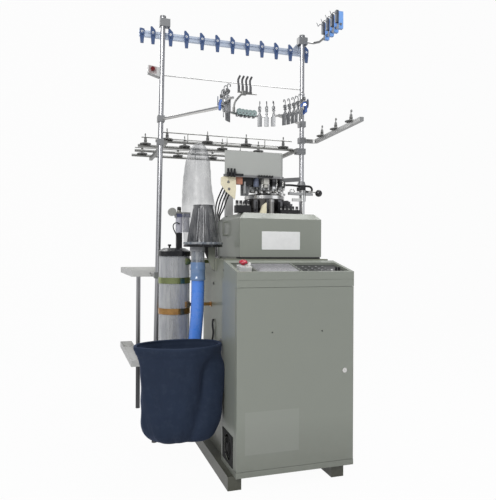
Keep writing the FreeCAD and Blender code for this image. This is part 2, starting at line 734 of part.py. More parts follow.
def head_housing():
    """The drive housing: a chamfered hood open at the bottom, with a bow handle on its left side."""
    x0 = HOUSING_LEFT_X
    x1 = x0 + HOUSING_W
    y0 = HOUSING_FRONT_Y
    y1 = y0 + HOUSING_D
    w = HOUSING_WALL
    hood = chamfered(x0, x1, y0, y1, HOUSING_Z, DECK, HOUSING_CHAMFER)
    hood = hood.cut(chamfered(x0 + w, x1 - w, y0 + w, y1 - w, HOUSING_Z - 1, DECK - w, HOUSING_CHAMFER - w / 2))
    hood = hood.cut(disc(AXIS_X, AXIS_Y, DECK - 20, DECK + 1, DRIVE_R + 6))
    handle_y = 500.0
    low = HOUSING_Z + 0.51 * HOUSING_H
    high = HOUSING_Z + 0.83 * HOUSING_H
    bow = bent_wire(((x0 + 1, handle_y, high), (x0 - 20, handle_y, high), (x0 - 20, handle_y, low),
                     (x0 + 1, handle_y, low)), 5, 8)
    return join([hood, bow])


def cam_box():
    """The cast cam ring with its base flange, waist and the bearing of the hollow drive."""
    waist = CAM_R - 16
    profile = ((DRIVE_R + FIT, DECK), (CAM_FLANGE_R, DECK), (CAM_FLANGE_R, DECK + CAM_FLANGE_T), (waist, DECK + CAM_FLANGE_T),
               (waist, DECK + 38), (CAM_R, DECK + 38), (CAM_R, CAM_TOP), (CYL_R + 6, CAM_TOP), (CYL_R + 6, DRIVE_TOP - 2),
               (DRIVE_R + FIT, DRIVE_TOP - 2))
    return turned(AXIS_X, AXIS_Y, profile)


def trick_outline():
    """The cylinder's outer outline with a slot for each needle."""
    half = math.asin(TRICK_W / 2 / CYL_R)
    step = 2 * math.pi / TRICKS
    deep = CYL_R - TRICK_DEEP

    def at(radius, angle):
        return V(AXIS_X + radius * math.cos(angle), AXIS_Y + radius * math.sin(angle), 0)

    edges = []
    for i in range(TRICKS):
        a0 = step * i + half
        a1 = step * (i + 1) - half
        inner0 = at(deep, a1)
        inner1 = at(deep, step * (i + 1) + half)
        edges.append(Part.Arc(at(CYL_R, a0), at(CYL_R, (a0 + a1) / 2), at(CYL_R, a1)).toShape())
        edges.append(Part.LineSegment(at(CYL_R, a1), inner0).toShape())
        edges.append(Part.LineSegment(inner0, inner1).toShape())
        edges.append(Part.LineSegment(inner1, at(CYL_R, step * (i + 1) + half)).toShape())
    return Part.Wire(edges)


TRICK_FLOOR = DRIVE_TOP + 8.0


def needle_cylinder():
    """The steel cylinder: a plain foot under a wall cut with upright tricks."""
    wall = Part.Face(trick_outline()).extrude(V(0, 0, CYL_TOP - TRICK_FLOOR))
    wall.translate(V(0, 0, TRICK_FLOOR))
    foot = disc(AXIS_X, AXIS_Y, DRIVE_TOP, TRICK_FLOOR, CYL_R)
    return join([wall, foot]).cut(disc(AXIS_X, AXIS_Y, DRIVE_TOP - 1, CYL_TOP + 1, DRIVE_R - 1))


def needles():
    """One hooked needle in each trick."""
    back = CYL_R - TRICK_DEEP + 0.2
    front = CYL_R - 0.2
    z0 = TRICK_FLOOR + GAP
    z1 = CYL_TOP + 6
    outline = ((back, z0), (front, z0), (front, z0 + 8), (back + 1.4, z0 + 10), (back + 1.4, z1 - 4), (front, z1 - 2),
               (back, z1))
    points = [(AXIS_X + r, AXIS_Y - NEEDLE_T / 2, z) for r, z in outline]
    needle = prism(points, (0, NEEDLE_T, 0))
    step = 360.0 / TRICKS
    return Part.makeCompound([turn_about(needle, AXIS_X, AXIS_Y, step * i) for i in range(TRICKS)])


def sinker_ring():
    """The bright ring on the cam box that guides the sinkers."""
    z0 = CAM_TOP
    z1 = z0 + SINKER_T
    inner = CYL_R + 3
    profile = ((inner, z0), (SINKER_R, z0), (SINKER_R, z1 - 8), (SINKER_R - 10, z1), (inner, z1))
    return turned(AXIS_X, AXIS_Y, profile)


DIAL_Z = CAM_TOP + SINKER_T - 4


def dial():
    """The dial disc with its shaft and top collar."""
    profile = ((0, DIAL_Z), (DIAL_R, DIAL_Z), (DIAL_R, DIAL_Z + 10), (DIAL_SHAFT_R, DIAL_Z + 10),
               (DIAL_SHAFT_R, PLATE_TOP + GAP), (DIAL_SHAFT_R + 8, PLATE_TOP + GAP), (DIAL_SHAFT_R + 8, PLATE_TOP + 10),
               (0, PLATE_TOP + 10))
    return turned(AXIS_X, AXIS_Y, profile)


def yarn_fingers():
    """The finger carrier hanging from the head plate, with tapered yarn fingers over the needles."""
    z0 = DIAL_Z + 27
    z1 = z0 + 20
    bore = DIAL_SHAFT_R + 4
    carrier = turned(AXIS_X, AXIS_Y, ((bore, z0), (CARRIER_R, z0), (CARRIER_R, z1), (bore + 12, z1), (bore + 12, PLATE_Z),
                                      (bore, PLATE_Z)))
    parts = [carrier]
    tip_z = DIAL_Z + 14
    finger = prism(((AXIS_X + DIAL_R + 2, AXIS_Y - 3, tip_z), (AXIS_X + DIAL_R + 8, AXIS_Y - 3, tip_z),
                    (AXIS_X + CARRIER_R + 9, AXIS_Y - 3, z0 + 16), (AXIS_X + CARRIER_R - 6, AXIS_Y - 3, z0 + 14),
                    (AXIS_X + CARRIER_R - 14, AXIS_Y - 3, z0 + 2)), (0, 6, 0))
    for i in range(FINGERS):
        parts.append(turn_about(finger, AXIS_X, AXIS_Y, 190 + 28 * i))
    return join(parts)


def radial_box(r0, r1, width, z0, z1, degrees):
    """A box pointing outwards from the cylinder axis at an angle."""
    block = box(AXIS_X + r0, AXIS_X + r1, AXIS_Y - width / 2, AXIS_Y + width / 2, z0, z1)
    return turn_about(block, AXIS_X, AXIS_Y, degrees)


def selector_units():
    """Needle selectors on the cam flange, and yarn actuators under the right half of the head plate."""
    units = []
    z0 = DECK + CAM_FLANGE_T
    for angle in (205, 232, 259, 286, 313, 340, 7, 34):
        body = radial_box(CAM_R + 4, CAM_FLANGE_R - 4, 22, z0, CAM_TOP - 8, angle)
        coil = radial_box(CAM_FLANGE_R - 5, CAM_FLANGE_R + 8, 14, z0 + 12, CAM_TOP - 20, angle)
        units.append(join([body, coil]))
    for angle in (212, 277, 301, 325):
        body = radial_box(CARRIER_R + 14, CARRIER_R + 42, 18, PLATE_Z - 52, PLATE_Z, angle)
        r = CARRIER_R + 28
        x = AXIS_X + r * math.cos(math.radians(angle))
        y = AXIS_Y + r * math.sin(math.radians(angle))
        units.append(join([body, many_sided(x, y, PLATE_Z - 64, PLATE_Z - 51, 7, 8)]))
    return Part.makeCompound(units)


def valve_bank(x0, x1, y0, y1, z0, z1, count, coil_r, coil_h):
    """A valve block with a row of upright coils."""
    parts = [box(x0, x1, y0, y1, z0, z1)]
    pitch = (x1 - x0) / count
    for i in range(count):
        parts.append(many_sided(x0 + pitch * (i + 0.5), (y0 + y1) / 2, z1 - 1, z1 + coil_h, coil_r, 6))
    return join(parts)


VALVE_X = 143.0             # first valve under the head plate
VALVE_Y = 378.0


def valve_banks():
    """Black air valves: two banks on the deck, one under the head plate and two connector strips on its edge."""
    front = CAN_FRONT_Y - PLATE_MARGIN
    left = CAN_LEFT_X - PLATE_MARGIN
    banks = [valve_bank(86, 166, 300, 338, DECK, DECK + 38, 4, 8, 26)]
    banks.append(valve_bank(330, 442, 300, 338, DECK, DECK + 22, 5, 7, 20))
    banks.append(box(VALVE_X, VALVE_X + 56, VALVE_Y, VALVE_Y + 34, PLATE_Z - 38, PLATE_Z))
    banks.append(many_sided(VALVE_X + 82, VALVE_Y + 16, PLATE_Z - 44, PLATE_Z, 15, 10))
    banks.append(join([box(VALVE_X + 120, VALVE_X + 148, VALVE_Y - 6, VALVE_Y + 22, PLATE_Z - 30, PLATE_Z),
                       box(VALVE_X + 126, VALVE_X + 142, VALVE_Y, VALVE_Y + 16, PLATE_Z - 46, PLATE_Z - 29)]))
    strip = [box(left + 14, left + 58, front - 12, front, PLATE_Z + 2, PLATE_Z + 20)]
    for i in range(3):
        strip.append(box(left + 14 + 17 * i, left + 24 + 17 * i, front - 19, front - 11, PLATE_Z - 4, PLATE_Z + 40))
    banks.append(join(strip))
    banks.append(box(left + 62, left + 104, front - 9, front, PLATE_TOP - 7, PLATE_TOP + 4))
    comb = [box(left + 185, left + 268, front - 8, front, PLATE_Z + 3, PLATE_Z + 8)]
    for i in range(6):
        comb.append(box(left + 187 + 15 * i, left + 195 + 15 * i, front - 11, front, PLATE_Z + 3, PLATE_Z + 14))
    banks.append(join(comb))
    return Part.makeCompound(banks)


CREAM_X = 22.0              # left end of the cream connector plate
WEDGE_X = 226.0


def cream_brackets():
    """Cream plastic parts: the connector plate at the left, a wedge on the deck and the brown terminal block."""
    y0 = 362.0
    outline = ((0, 6), (0, 42), (26, 78), (76, 118), (82, 60), (80, 0), (10, 0))     # across, down
    plate = prism([(CREAM_X + across, y0, PLATE_Z - down) for across, down in outline], (0, 8, 0))
    wedge = prism(((WEDGE_X, 322, DECK), (WEDGE_X + 34, 322, DECK), (WEDGE_X + 34, 322, DECK + 58),
                   (WEDGE_X + 14, 322, DECK + 44)), (0, 20, 0))
    block = box(VALVE_X - 40, VALVE_X - 1, VALVE_Y - 6, VALVE_Y + 22, PLATE_Z - 36, PLATE_Z)
    return Part.makeCompound([plate, wedge, block])


EAR_X1 = 465.0
REAR_COLUMN = (440.0, 612.0)
GREY_POST = (139.0, 622.0)


def can_outline(grow):
    """The cover's plan as a face: a straight front whose ends run tangent to the round back."""
    r = CAN_BACK_R + grow
    y = CAN_FRONT_Y - grow
    centre = V(CAN_BACK_X, CAN_BACK_Y, 0)
    ends = []
    for x, side in ((CAN_LEFT_X - 1.6 * grow, 1), (CAN_RIGHT_X + grow, -1)):
        corner = V(x, y, 0)
        away = centre - corner
        angle = math.atan2(away.y, away.x) + side * math.asin(r / away.Length)
        reach = math.sqrt(away.Length ** 2 - r ** 2)
        ends.append((corner, corner + V(math.cos(angle), math.sin(angle), 0) * reach))
    (left, left_back), (right, right_back) = ends
    edges = [Part.LineSegment(left_back, left).toShape(), Part.LineSegment(left, right).toShape(),
             Part.LineSegment(right, right_back).toShape(),
             Part.Arc(right_back, centre + V(0, r, 0), left_back).toShape()]
    return Part.Face(Part.Wire(edges))


def can_block(grow, z0, z1, corner_r):
    """The plan of the can raised between two heights, with its front right corner rounded."""
    block = can_outline(grow).extrude(V(0, 0, z1 - z0))
    block.translate(V(0, 0, z0))
    corner = [e for e in upright_edges(block) if abs(e.Vertexes[0].Point.x - CAN_RIGHT_X - grow) < 0.01]
    return block.makeFillet(corner_r, corner)


def head_plate():
    """The plate that carries the can cover, with a rear bar over the two rear columns."""
    main = can_block(PLATE_MARGIN, PLATE_Z, PLATE_TOP, CAN_CORNER_R)
    half = POST_W / 2
    x, y = GREY_POST
    rear = box(x - half, EAR_X1, CAN_BACK_Y + CAN_BACK_R - 30, y + half, PLATE_Z, PLATE_TOP)
    return join([main, rear]).cut(disc(AXIS_X, AXIS_Y, PLATE_Z - 1, PLATE_TOP + 1, DIAL_SHAFT_R + FIT))


COLLAR_H = 34.0             # collar under the swing arm
HUB_H = 26.0                # hub of the swing arm


def head_columns():
    """The grey square post, the round rear column, the front stitch column and the chrome arm column."""
    half = POST_W / 2
    x, y = GREY_POST
    post = box(x - half, x + half, y - half, y + half, DECK, PLATE_Z)
    rear = disc(REAR_COLUMN[0], REAR_COLUMN[1], DECK, PLATE_Z, COLUMN_R)
    stitch = join([many_sided(290, 328, DECK, DECK + 62, 13, 16), many_sided(290, 328, DECK + 61, DECK + 76, 15, 16)])
    pin = many_sided(VALVE_X + 12, VALVE_Y - 6, PLATE_Z - 84, PLATE_Z - 22, 6, 8)
    x = ARM_COLUMN_X
    y = ARM_COLUMN_Y
    top = ARM_Z0 + HUB_H + GAP
    chrome = join([disc(x, y, DECK, DECK + 6, 24), disc(x, y, DECK, top + 1, ARM_COLUMN_R),
                   disc(x, y, ARM_Z0 - COLLAR_H, ARM_Z0 - GAP, 17), box(x - 16, x + 15, y - 8, y + 46, top, top + 22),
                   box(x - 62, x - 8, y - 6, y + 6, ARM_Z0 - COLLAR_H, ARM_Z0 - COLLAR_H + 16)])
    return Part.makeCompound([post, rear, stitch, pin, chrome])


def can_cover():
    """The deep-drawn cover on the head plate."""
    z1 = PLATE_TOP + CAN_H
    outer = can_block(0, PLATE_TOP, z1, CAN_CORNER_R)
    return outer.cut(can_block(-CAN_WALL, PLATE_TOP - 1, z1 - CAN_WALL, CAN_CORNER_R - CAN_WALL))


def swing_arm():
    """The bright arm that turns on the chrome column, with a pivot stud for the lever."""
    x = ARM_COLUMN_X
    y = ARM_COLUMN_Y
    z0 = ARM_Z0
    z1 = z0 + 14
    blade = prism(((x - 95, y - 20, z0), (x - 90, y - 28, z0), (x, y - 17, z0), (x + 52, y - 12, z0), (x + 62, y, z0),
                   (x + 52, y + 6, z0), (x, y + 17, z0), (x - 90, y - 4, z0)), (0, 0, 14))
    hub = disc(x, y, z0, z0 + HUB_H, 20)
    stud = disc(x + 40, y - 3, z1 - 1, z1 + 13, 4)
    slot = prism(((x - 82, y - 20, z0 - 1), (x - 32, y - 14, z0 - 1), (x - 32, y - 4, z0 - 1), (x - 82, y - 13, z0 - 1)),
                 (0, 0, 20))
    arm = join([blade, hub, stud]).cut(slot)
    return arm.cut(disc(x, y, z0 - 1, z0 + HUB_H + 1, ARM_COLUMN_R + FIT))


def lever_handle():
    """The hand lever: an eye on the arm's stud, a rod and a black ball."""
    x = ARM_COLUMN_X + 40
    y = ARM_COLUMN_Y - 3
    z0 = ARM_Z0 + 14 + GAP
    eye = many_sided(x, y, z0, z0 + 9, 9, 12)
    ball_x = x + 48
    ball_y = y - 17
    ball_z = z0 - 1.5
    shank = bent_wire(((x + 6, y - 2, z0 + 5), (x + 30, y - 10.5, z0 + 5), (ball_x, ball_y, ball_z)), 3.5)
    rings = []
    for i in range(1, 9):
        angle = math.pi * (i / 9 - 0.5)
        rings.append((ball_x, ball_y, ball_z + BALL_R * math.sin(angle), BALL_R * math.cos(angle)))
    ball = facet_loft(rings, 14)
    bore = disc(x, y, z0 - 1, z0 + 10, 4 + FIT)
    return join([eye, shank, ball]).cut(bore)


# ---- suction outlet, canister and air ---------------------------------------------------
def outlet_flange():
    """The black outlet disc with a collar for the clear tube and a gusset to the pedestal."""
    z0 = FLANGE_Z
    plate = disc(FLANGE_X, FLANGE_Y, z0, z0 + FLANGE_T, FLANGE_R)
    collar = many_sided(TUBE_X, FLANGE_Y, z0 - 22, z0 + 1, TUBE_R + 7, 24)
    gusset = prism(((FLANGE_X + 9, FLANGE_Y - 6, z0 + 1), (BRACKET_X, FLANGE_Y - 6, z0 + 1),
                    (BRACKET_X, FLANGE_Y - 6, PED_TOP - 62), (BRACKET_X - 12, FLANGE_Y - 6, PED_TOP - 62),
                    (FLANGE_X + 9, FLANGE_Y - 6, z0 - 28)), (0, 12, 0))
    foot = box(BRACKET_X - 5, BRACKET_X, FLANGE_Y - 32, FLANGE_Y + 32, PED_TOP - 66, PED_TOP - 4)
    return join([plate, collar, gusset, foot]).cut(disc(TUBE_X, FLANGE_Y, z0 - 30, z0 + 20, TUBE_R + GAP))


def inner_cone():
    """The dark outlet cone inside the sleeve, open at the top with a rim at each end."""
    w = 2.0
    z0 = CONE_Z
    z1 = z0 + CONE_H
    sides = 32
    rings = ((z0, CONE_BOTTOM_R), (z1, CONE_TOP_R))
    outer = facet_loft([(FLANGE_X, FLANGE_Y, z, r) for z, r in rings], sides)
    inner = facet_loft([(FLANGE_X, FLANGE_Y, z, r - w) for z, r in rings], sides)
    foot = facet_loft([(FLANGE_X, FLANGE_Y, z, CONE_BOTTOM_R + 8) for z in (z0, z0 + 4)], sides)
    rim = facet_loft([(FLANGE_X, FLANGE_Y, z, CONE_TOP_R + 3) for z in (z1 - 4, z1)], sides)
    return outer.fuse([foot, rim]).cut(inner)


def clear_sleeve():
    """The tall film sleeve over the cone: closed at the top and leaning a little to the left."""
    outer = []
    inner = []
    for height, lean, r in SLEEVE_RINGS:
        outer.append((FLANGE_X + lean, FLANGE_Y, CONE_Z + height, r))
        inner.append((FLANGE_X + lean, FLANGE_Y, CONE_Z + height - (FILM if height else 1), r - FILM))
    return facet_loft(outer, SLEEVE_SIDES).cut(facet_loft(inner, SLEEVE_SIDES))


def clear_tube():
    return ring(TUBE_X, FLANGE_Y, TUBE_BOTTOM_Z, FLANGE_Z + FLANGE_T, TUBE_R, TUBE_R - TUBE_WALL)


def blue_hose():
    """The suction hose with the wide cuff that joins it to the clear tube."""
    hose = tube_along(HOSE_ROUTE, HOSE_R, "blue hose", 16, HOSE_R - HOSE_WALL)
    x, y, z = HOSE_ROUTE[0]
    cuff = ring(x, y, z - CUFF_L / 2, z + CUFF_L / 2, TUBE_R + 4.5, TUBE_R + GAP)
    seat = ring(x, y, z - CUFF_L / 2 - 5, z - CUFF_L / 2 + 6, TUBE_R + 4, HOSE_R - 1.5)
    return join([hose, cuff, seat])


def canister():
    """The clear filter canister with a closed floor."""
    body = disc(CANISTER_X, CANISTER_Y, CANISTER_BOTTOM_Z, CANISTER_TOP_Z, CANISTER_R)
    inner = disc(CANISTER_X, CANISTER_Y, CANISTER_BOTTOM_Z + 5, CANISTER_TOP_Z + 1, CANISTER_R - CANISTER_WALL)
    return body.cut(inner)


def canister_lid():
    """The black lid: a skirt over the canister, a stepped crown and a small knob."""
    z = CANISTER_TOP_Z
    profile = ((0, z), (CANISTER_R + GAP, z), (CANISTER_R + GAP, z - 16), (LID_R, z - 16), (LID_R, z + 10),
               (LID_R - 34, z + LID_H - 8), (0, z + LID_H - 8))
    crown = turned(CANISTER_X, CANISTER_Y, profile)
    x = CANISTER_X - 30
    y = CANISTER_Y - 12
    rings = ((z + 20, 5), (z + LID_H, 5), (z + LID_H + 4, 10), (z + LID_H + 12, 9))
    knob = facet_loft([(x, y, h, r) for h, r in rings], 10)
    return join([crown, knob])


def filter_mesh():
    z0 = CANISTER_BOTTOM_Z + 5
    return ring(CANISTER_X, CANISTER_Y, z0, CANISTER_TOP_Z, FILTER_R, FILTER_R - 2)


def canister_straps():
    """Two brass bands round the canister, and two brass arms that hold it to the pedestal."""
    solids = []
    for z in BAND_Z:
        band = ring(CANISTER_X, CANISTER_Y, z, z + BAND_H, CANISTER_R + GAP + BAND_T, CANISTER_R + GAP)
        solids.append(band)
    clear = disc(CANISTER_X, CANISTER_Y, 0, 2000, CANISTER_R + GAP)
    lug_x = CANISTER_X + 0.68 * CANISTER_R
    lug_y = CANISTER_Y - 0.8 * CANISTER_R
    for z in ARM_Z:
        lug = box(lug_x - 12, lug_x + 16, lug_y - 6, lug_y + 26, z - 15, z + 17).cut(clear)
        bar = box(lug_x + 8, PED_LEFT_X, lug_y + 2, lug_y + 7, z - 8, z + 10)
        pad = box(PED_LEFT_X - 4, PED_LEFT_X, lug_y - 14, lug_y + 24, z - 12, z + 14)
        solids.append(join([lug, bar, pad]))
    return Part.makeCompound(solids)


REGULATOR_Y = CANISTER_Y + 2
REGULATOR_Z = CANISTER_TOP_Z + LID_H - 8
VALVE_Z = REGULATOR_Z + 168
KNOB_Z = VALVE_Z + 42


def regulator():
    """The air service unit on the lid: black foot, two bowls, a head block and a round gauge."""
    x = REGULATOR_X
    y = REGULATOR_Y
    z = REGULATOR_Z
    foot = box(x - 15, x + 15, y - 15, y + 15, z, z + 90)
    lubricator_x = x + 40
    parts = [foot, many_sided(x, y, z + 88, VALVE_Z + 2, 19, 16), many_sided(lubricator_x, y, z + 88, VALVE_Z + 2, 18, 16)]
    parts.append(box(x - 22, lubricator_x + 20, y - 20, y + 20, VALVE_Z, VALVE_Z + 30))
    parts.append(many_sided(x, y, VALVE_Z + 29, KNOB_Z - GAP, 12, 12))
    gauge_x = x - 42
    gauge_z = VALVE_Z + 30
    parts.append(bent_wire(((x - 20, y, VALVE_Z + 15), (gauge_x, y, VALVE_Z + 15), (gauge_x, y - 6, gauge_z - 12)), 5))
    parts.append(rod((gauge_x, y - 30, gauge_z), (gauge_x, y - 2, gauge_z), 22))
    body = join(parts)
    return body.cut(disc(x, y, KNOB_Z - 14, KNOB_Z + 1, 4 + FIT))


def regulator_knob():
    """The adjusting knob on top of the regulator."""
    x = REGULATOR_X
    y = REGULATOR_Y
    rings = ((KNOB_Z, 10), (KNOB_Z + 4, 12), (KNOB_Z + 15, 11), (KNOB_Z + 18, 8))
    body = facet_loft([(x, y, z, r) for z, r in rings], 12)
    return join([body, disc(x, y, KNOB_Z - 12, KNOB_Z + 1, 4)])


AIR_LOOP = ((411.4, 433, 1474), (440, 438, 1477), (490, 446, 1474.5), (541, 451, 1476), (569, 452, 1475), (579, 451, 1465),
            (579, 448, 1451), (569, 445, 1441), (555, 443, 1441.5), (535, 440, 1445), (517.3, 438, 1451))
LOOP_R = 6.0
AIR_TUBE = ((-152, 590, 1255), (-166.8, 584, 1262), (-183, 580, 1256), (-190, 579, 1243), (-187, 580, 1228),
            (-180, 583, 1213), (-172, 587, 1200), (-166, 591, 1188))
SIDE_CABLE = ((14, 478, 740), (8, 476, 722), (9, 473, 700), (13, 472, 675), (11, 472, 650), (6, 473, 626), (14, 475, 606))
CABLE_R = 4.0
CABLES = 4


def head_cable(number):
    """One of the cables that fan out behind the connector plate, cross the housing's rear edge and go down to the stand."""
    x = 46 + 13 * number
    spread = 9 * number
    back = HOUSING_FRONT_Y + HOUSING_D
    points = [(x, 372, 1448), (x - 2, 396, 1440), ((x + 46 + spread) / 2, 438, 1410), (48 + spread, 480, 1388),
              (56 + spread, 548, 1358), (66 + spread, 614, 1332), (72 + spread, 660, 1317), (77 + spread, back - 3, 1300),
              (80 + spread, back + 12, 1264), (81 + spread, back + 11, 1215), (82 + spread, back + 9, 1160),
              (83 + spread, back + 10, 1110), (83 + spread, back + 9, PED_TOP + GAP)]
    return tube_along(points, CABLE_R, "head cable", 5)


def air_lines():
    """The air hose loop at the right, the small tube at the regulator, the side cable and the head cables."""
    lines = [tube_along(AIR_LOOP, LOOP_R, "air loop", 6), tube_along(AIR_TUBE, 3, "air tube", 5),
             tube_along(SIDE_CABLE, 5, "side cable", 5)]
    for i in range(CABLES):
        lines.append(head_cable(i))
    return Part.makeCompound(lines)


# ---- bag ----------------------------------------------------------------------------------
def oval(scale, z0, z1):
    """An oval block between two heights, as a share of the hoop's size."""
    rings = [(BAG_X, BAG_Y, z0, HOOP_A * scale), (BAG_X, BAG_Y, z1, HOOP_A * scale)]
    return facet_loft(rings, BAG_SIDES, HOOP_B / HOOP_A)


HOOP_HALF = HOOP_T / 2 / HOOP_B
WALL_SCALE = 1 - HOOP_HALF - 0.5 / HOOP_B
FLAP_SCALE = 1 + HOOP_HALF + 0.5 / HOOP_B
HEM_SCALE = FLAP_SCALE + CLOTH / HOOP_B
HOOP_ARM_Y = (BAG_Y + 22.0, BAG_Y + 72.0)


def bag_hoop():
    """The flat steel hoop that holds the bag open, with two arms to a plate on the pedestal's side."""
    low = HOOP_TOP - HOOP_H
    hoop = oval(1 + HOOP_HALF, low, HOOP_TOP).cut(oval(1 - HOOP_HALF, low - 1, HOOP_TOP + 1))
    parts = [hoop]
    for y in HOOP_ARM_Y:
        start = BAG_X + HOOP_A * math.sqrt(1 - ((y - BAG_Y) / HOOP_B) ** 2)
        parts.append(box(start, PED_LEFT_X - 2, y - 3, y + 3, low, HOOP_TOP))
    parts.append(box(PED_LEFT_X - 4, PED_LEFT_X, HOOP_ARM_Y[0] - 12, HOOP_ARM_Y[1] + 12, low - 8, HOOP_TOP + 8))
    return join(parts)


def collection_bag():
    """The cloth bag: an oval sack with a rounded bottom whose hem folds over the hoop."""
    z0 = BAG_BOTTOM_Z
    # height above the bottom, size as a share of the hoop, sideways shift
    wall = ((0, 0.50, 14), (8, 0.63, 14), (28, 0.77, 14), (58, 0.88, 13), (105, 0.935, 12), (240, 0.955, 12),
            (400, 0.95, 6), (BAG_RIM_Z - z0, WALL_SCALE, 0))
    outer = [(BAG_X + shift, BAG_Y, z0 + h, HOOP_A * k) for h, k, shift in wall]
    thin = CLOTH / HOOP_B
    inner = [(BAG_X + shift, BAG_Y, z0 + h + (CLOTH if h < 100 else 0) + (1 if k == WALL_SCALE else 0), HOOP_A * (k - thin))
             for h, k, shift in wall]
    hem_low = BAG_RIM_Z - 42
    over = BAG_RIM_Z - CLOTH
    squash = HOOP_B / HOOP_A
    body = facet_loft(outer, BAG_SIDES, squash)
    hem = oval(HEM_SCALE, hem_low, BAG_RIM_Z).cut(oval(FLAP_SCALE, hem_low - 1, over))
    notch = box(BAG_X + 0.6 * HOOP_A, BAG_X + 1.2 * HOOP_A, HOOP_ARM_Y[0] - 8, HOOP_ARM_Y[1] + 8, hem_low - 1, over)
    return hem.cut(notch).fuse(body).cut(facet_loft(inner, BAG_SIDES, squash))


# ---- creel --------------------------------------------------------------------------------
LOWER_TRAY_W = LEG_X - POST_R - TRAY_X
UPPER_TRAY_MID = UPPER_TRAY_Z + TRAY_H / 2
LOWER_TRAY_MID = LOWER_TRAY_Z + TRAY_H / 2
LOWER_TRAY_ARM_X = POST_LEFT_X - 50.0
RACK_ARM_X = (-200.0, 612.0)
RACK_ARM_W = 20.0
RACK_ARM_Z = RACK_Z - RACK_RAIL_R - 19.0
STAY_RISE = 38.0
STAY_Z = PLATE_TOP + STAY_RISE   # underside of the head stay at the right post
SENSOR_ARM_Z = POST_H - 30.0
GUIDE_ROD_Z = 2127.0


def post_x(z):
    """The left post's centre at a height."""
    return POST_LEFT_X + POST_LEAN * z


def left_post(z0, z1, r):
    """A length of the leaning left post's axis as a bar."""
    return rod((post_x(z0), POST_Y, z0), (post_x(z1), POST_Y, z1), r)


def creel_posts():
    """Two tall posts and the shorter rear leg, all of one tube."""
    left = left_post(-10, POST_H, POST_R).cut(left_post(-20, POST_H + 10, POST_BORE_R)).cut(box(-400, 0, 600, 900, -30, 0))
    right = ring(POST_RIGHT_X, POST_Y, 0, POST_H, POST_R, POST_BORE_R)
    return Part.makeCompound([left, right, ring(LEG_X, LEG_Y, 0, UPPER_TRAY_Z, POST_R, POST_BORE_R)])


def clamp(x, z, reach_left=0.0, reach_right=0.0, height=CLAMP_H):
    """A clamp block round a creel post, reaching to what it holds."""
    half = CLAMP_W / 2
    block = box(x - half - reach_left, x + half + reach_right, POST_Y - half, POST_Y + half, z - height / 2, z + height / 2)
    if x < 0:
        return block.cut(left_post(z - height, z + height, POST_R + FIT))
    return block.cut(disc(x, POST_Y, z - height, z + height, POST_R + FIT))


def post_clamps():
    """The clamps on both posts: caps, rack, ring, side arm and tray clamps, and the stay's cone."""
    half = CLAMP_W / 2
    rack_z = RACK_ARM_Z + 10
    solids = [many_sided(post_x(POST_H), POST_Y, POST_H + 0.3, POST_H + 8, POST_R + 3, 16)]
    solids.append(many_sided(POST_RIGHT_X, POST_Y, POST_H, POST_H + 8, POST_R + 3, 16))
    solids.append(clamp(post_x(POST_H), POST_H - 32, 0, 20, 44))
    solids.append(clamp(POST_RIGHT_X, SENSOR_ARM_Z, 8, 10, 44))
    solids.append(clamp(post_x(RING_Z), RING_Z))
    solids.append(clamp(POST_RIGHT_X, RING_Z + 36))
    solids.append(clamp(post_x(rack_z), rack_z, 0, RACK_ARM_X[0] - RACK_ARM_W / 2 - post_x(rack_z) - half))
    solids.append(clamp(POST_RIGHT_X, rack_z, POST_RIGHT_X - half - RACK_ARM_X[1] - RACK_ARM_W / 2))
    solids.append(clamp(POST_RIGHT_X, LOWER_ARM_Z))
    solids.append(clamp(post_x(UPPER_TRAY_MID), UPPER_TRAY_MID))
    solids.append(clamp(post_x(LOWER_TRAY_MID), LOWER_TRAY_MID, 44))
    solids.append(turned(POST_RIGHT_X, POST_Y, ((POST_R + FIT, STAY_Z - 30), (POST_R + 15, STAY_Z - 30),
                                                (POST_R + 6, STAY_Z), (POST_R + FIT, STAY_Z))))
    return Part.makeCompound(solids)


def tray(width, z):
    """A folded tray with a rim all round."""
    t = 2.5
    outer = box(TRAY_X, TRAY_X + width, TRAY_Y, TRAY_Y + TRAY_L, z, z + TRAY_H)
    return outer.cut(box(TRAY_X + t, TRAY_X + width - t, TRAY_Y + t, TRAY_Y + TRAY_L - t, z + t, z + TRAY_H + 1))


def creel_trays():
    return Part.makeCompound([tray(UPPER_TRAY_W, UPPER_TRAY_Z), tray(LOWER_TRAY_W, LOWER_TRAY_Z)])


def cone_rack():
    """The cone rails on two side arms, with a thin wire rod above each row of cones."""
    parts = []
    rear = ROWS[-1][0] + 18
    half = RACK_ARM_W / 2
    end = RACK_ARM_X[1] + half
    for x in RACK_ARM_X:
        parts.append(box(x - half, x + half, POST_Y - CLAMP_W / 2, rear, RACK_ARM_Z, RACK_ARM_Z + 20))
    for y, first, x0 in ROWS + ((BARE_ROW_Y, 0, ROWS[1][2]),):
        parts.append(bent_wire(((x0, y, RACK_Z), (end, y, RACK_Z)), RACK_RAIL_R, 8))
    for y, first, x0 in ROWS:
        wire_y = y - RACK_RAIL_R - 4
        parts.append(bent_wire(((x0 + 20, wire_y, RACK_Z + 50), (end - 10, wire_y, RACK_Z + 50)), 3, 4))
        for i in range(3):
            x = first + HOLDER_PITCH * (i + 0.5)
            parts.append(bent_wire(((x, y - 6, RACK_Z), (x, wire_y, RACK_Z + 14), (x, wire_y, RACK_Z + 52)), 4, 3))
    return join(parts)


def holder(x, y, z):
    """A cone holder: a disc on its rail and a short post that ends in a hook."""
    top = z + HOLDER_H
    plate = many_sided(x, y, z, z + 6, HOLDER_R, 14)
    post = many_sided(x, y, z + 5, top - 22, 5.5, 4)
    hook = bent_wire(((x, y, top - 24), (x, y, top - 4), (x - 4, y - 14, top), (x - 5, y - 20, top - 12)), 3.5, 3)
    return join([plate, post, hook])


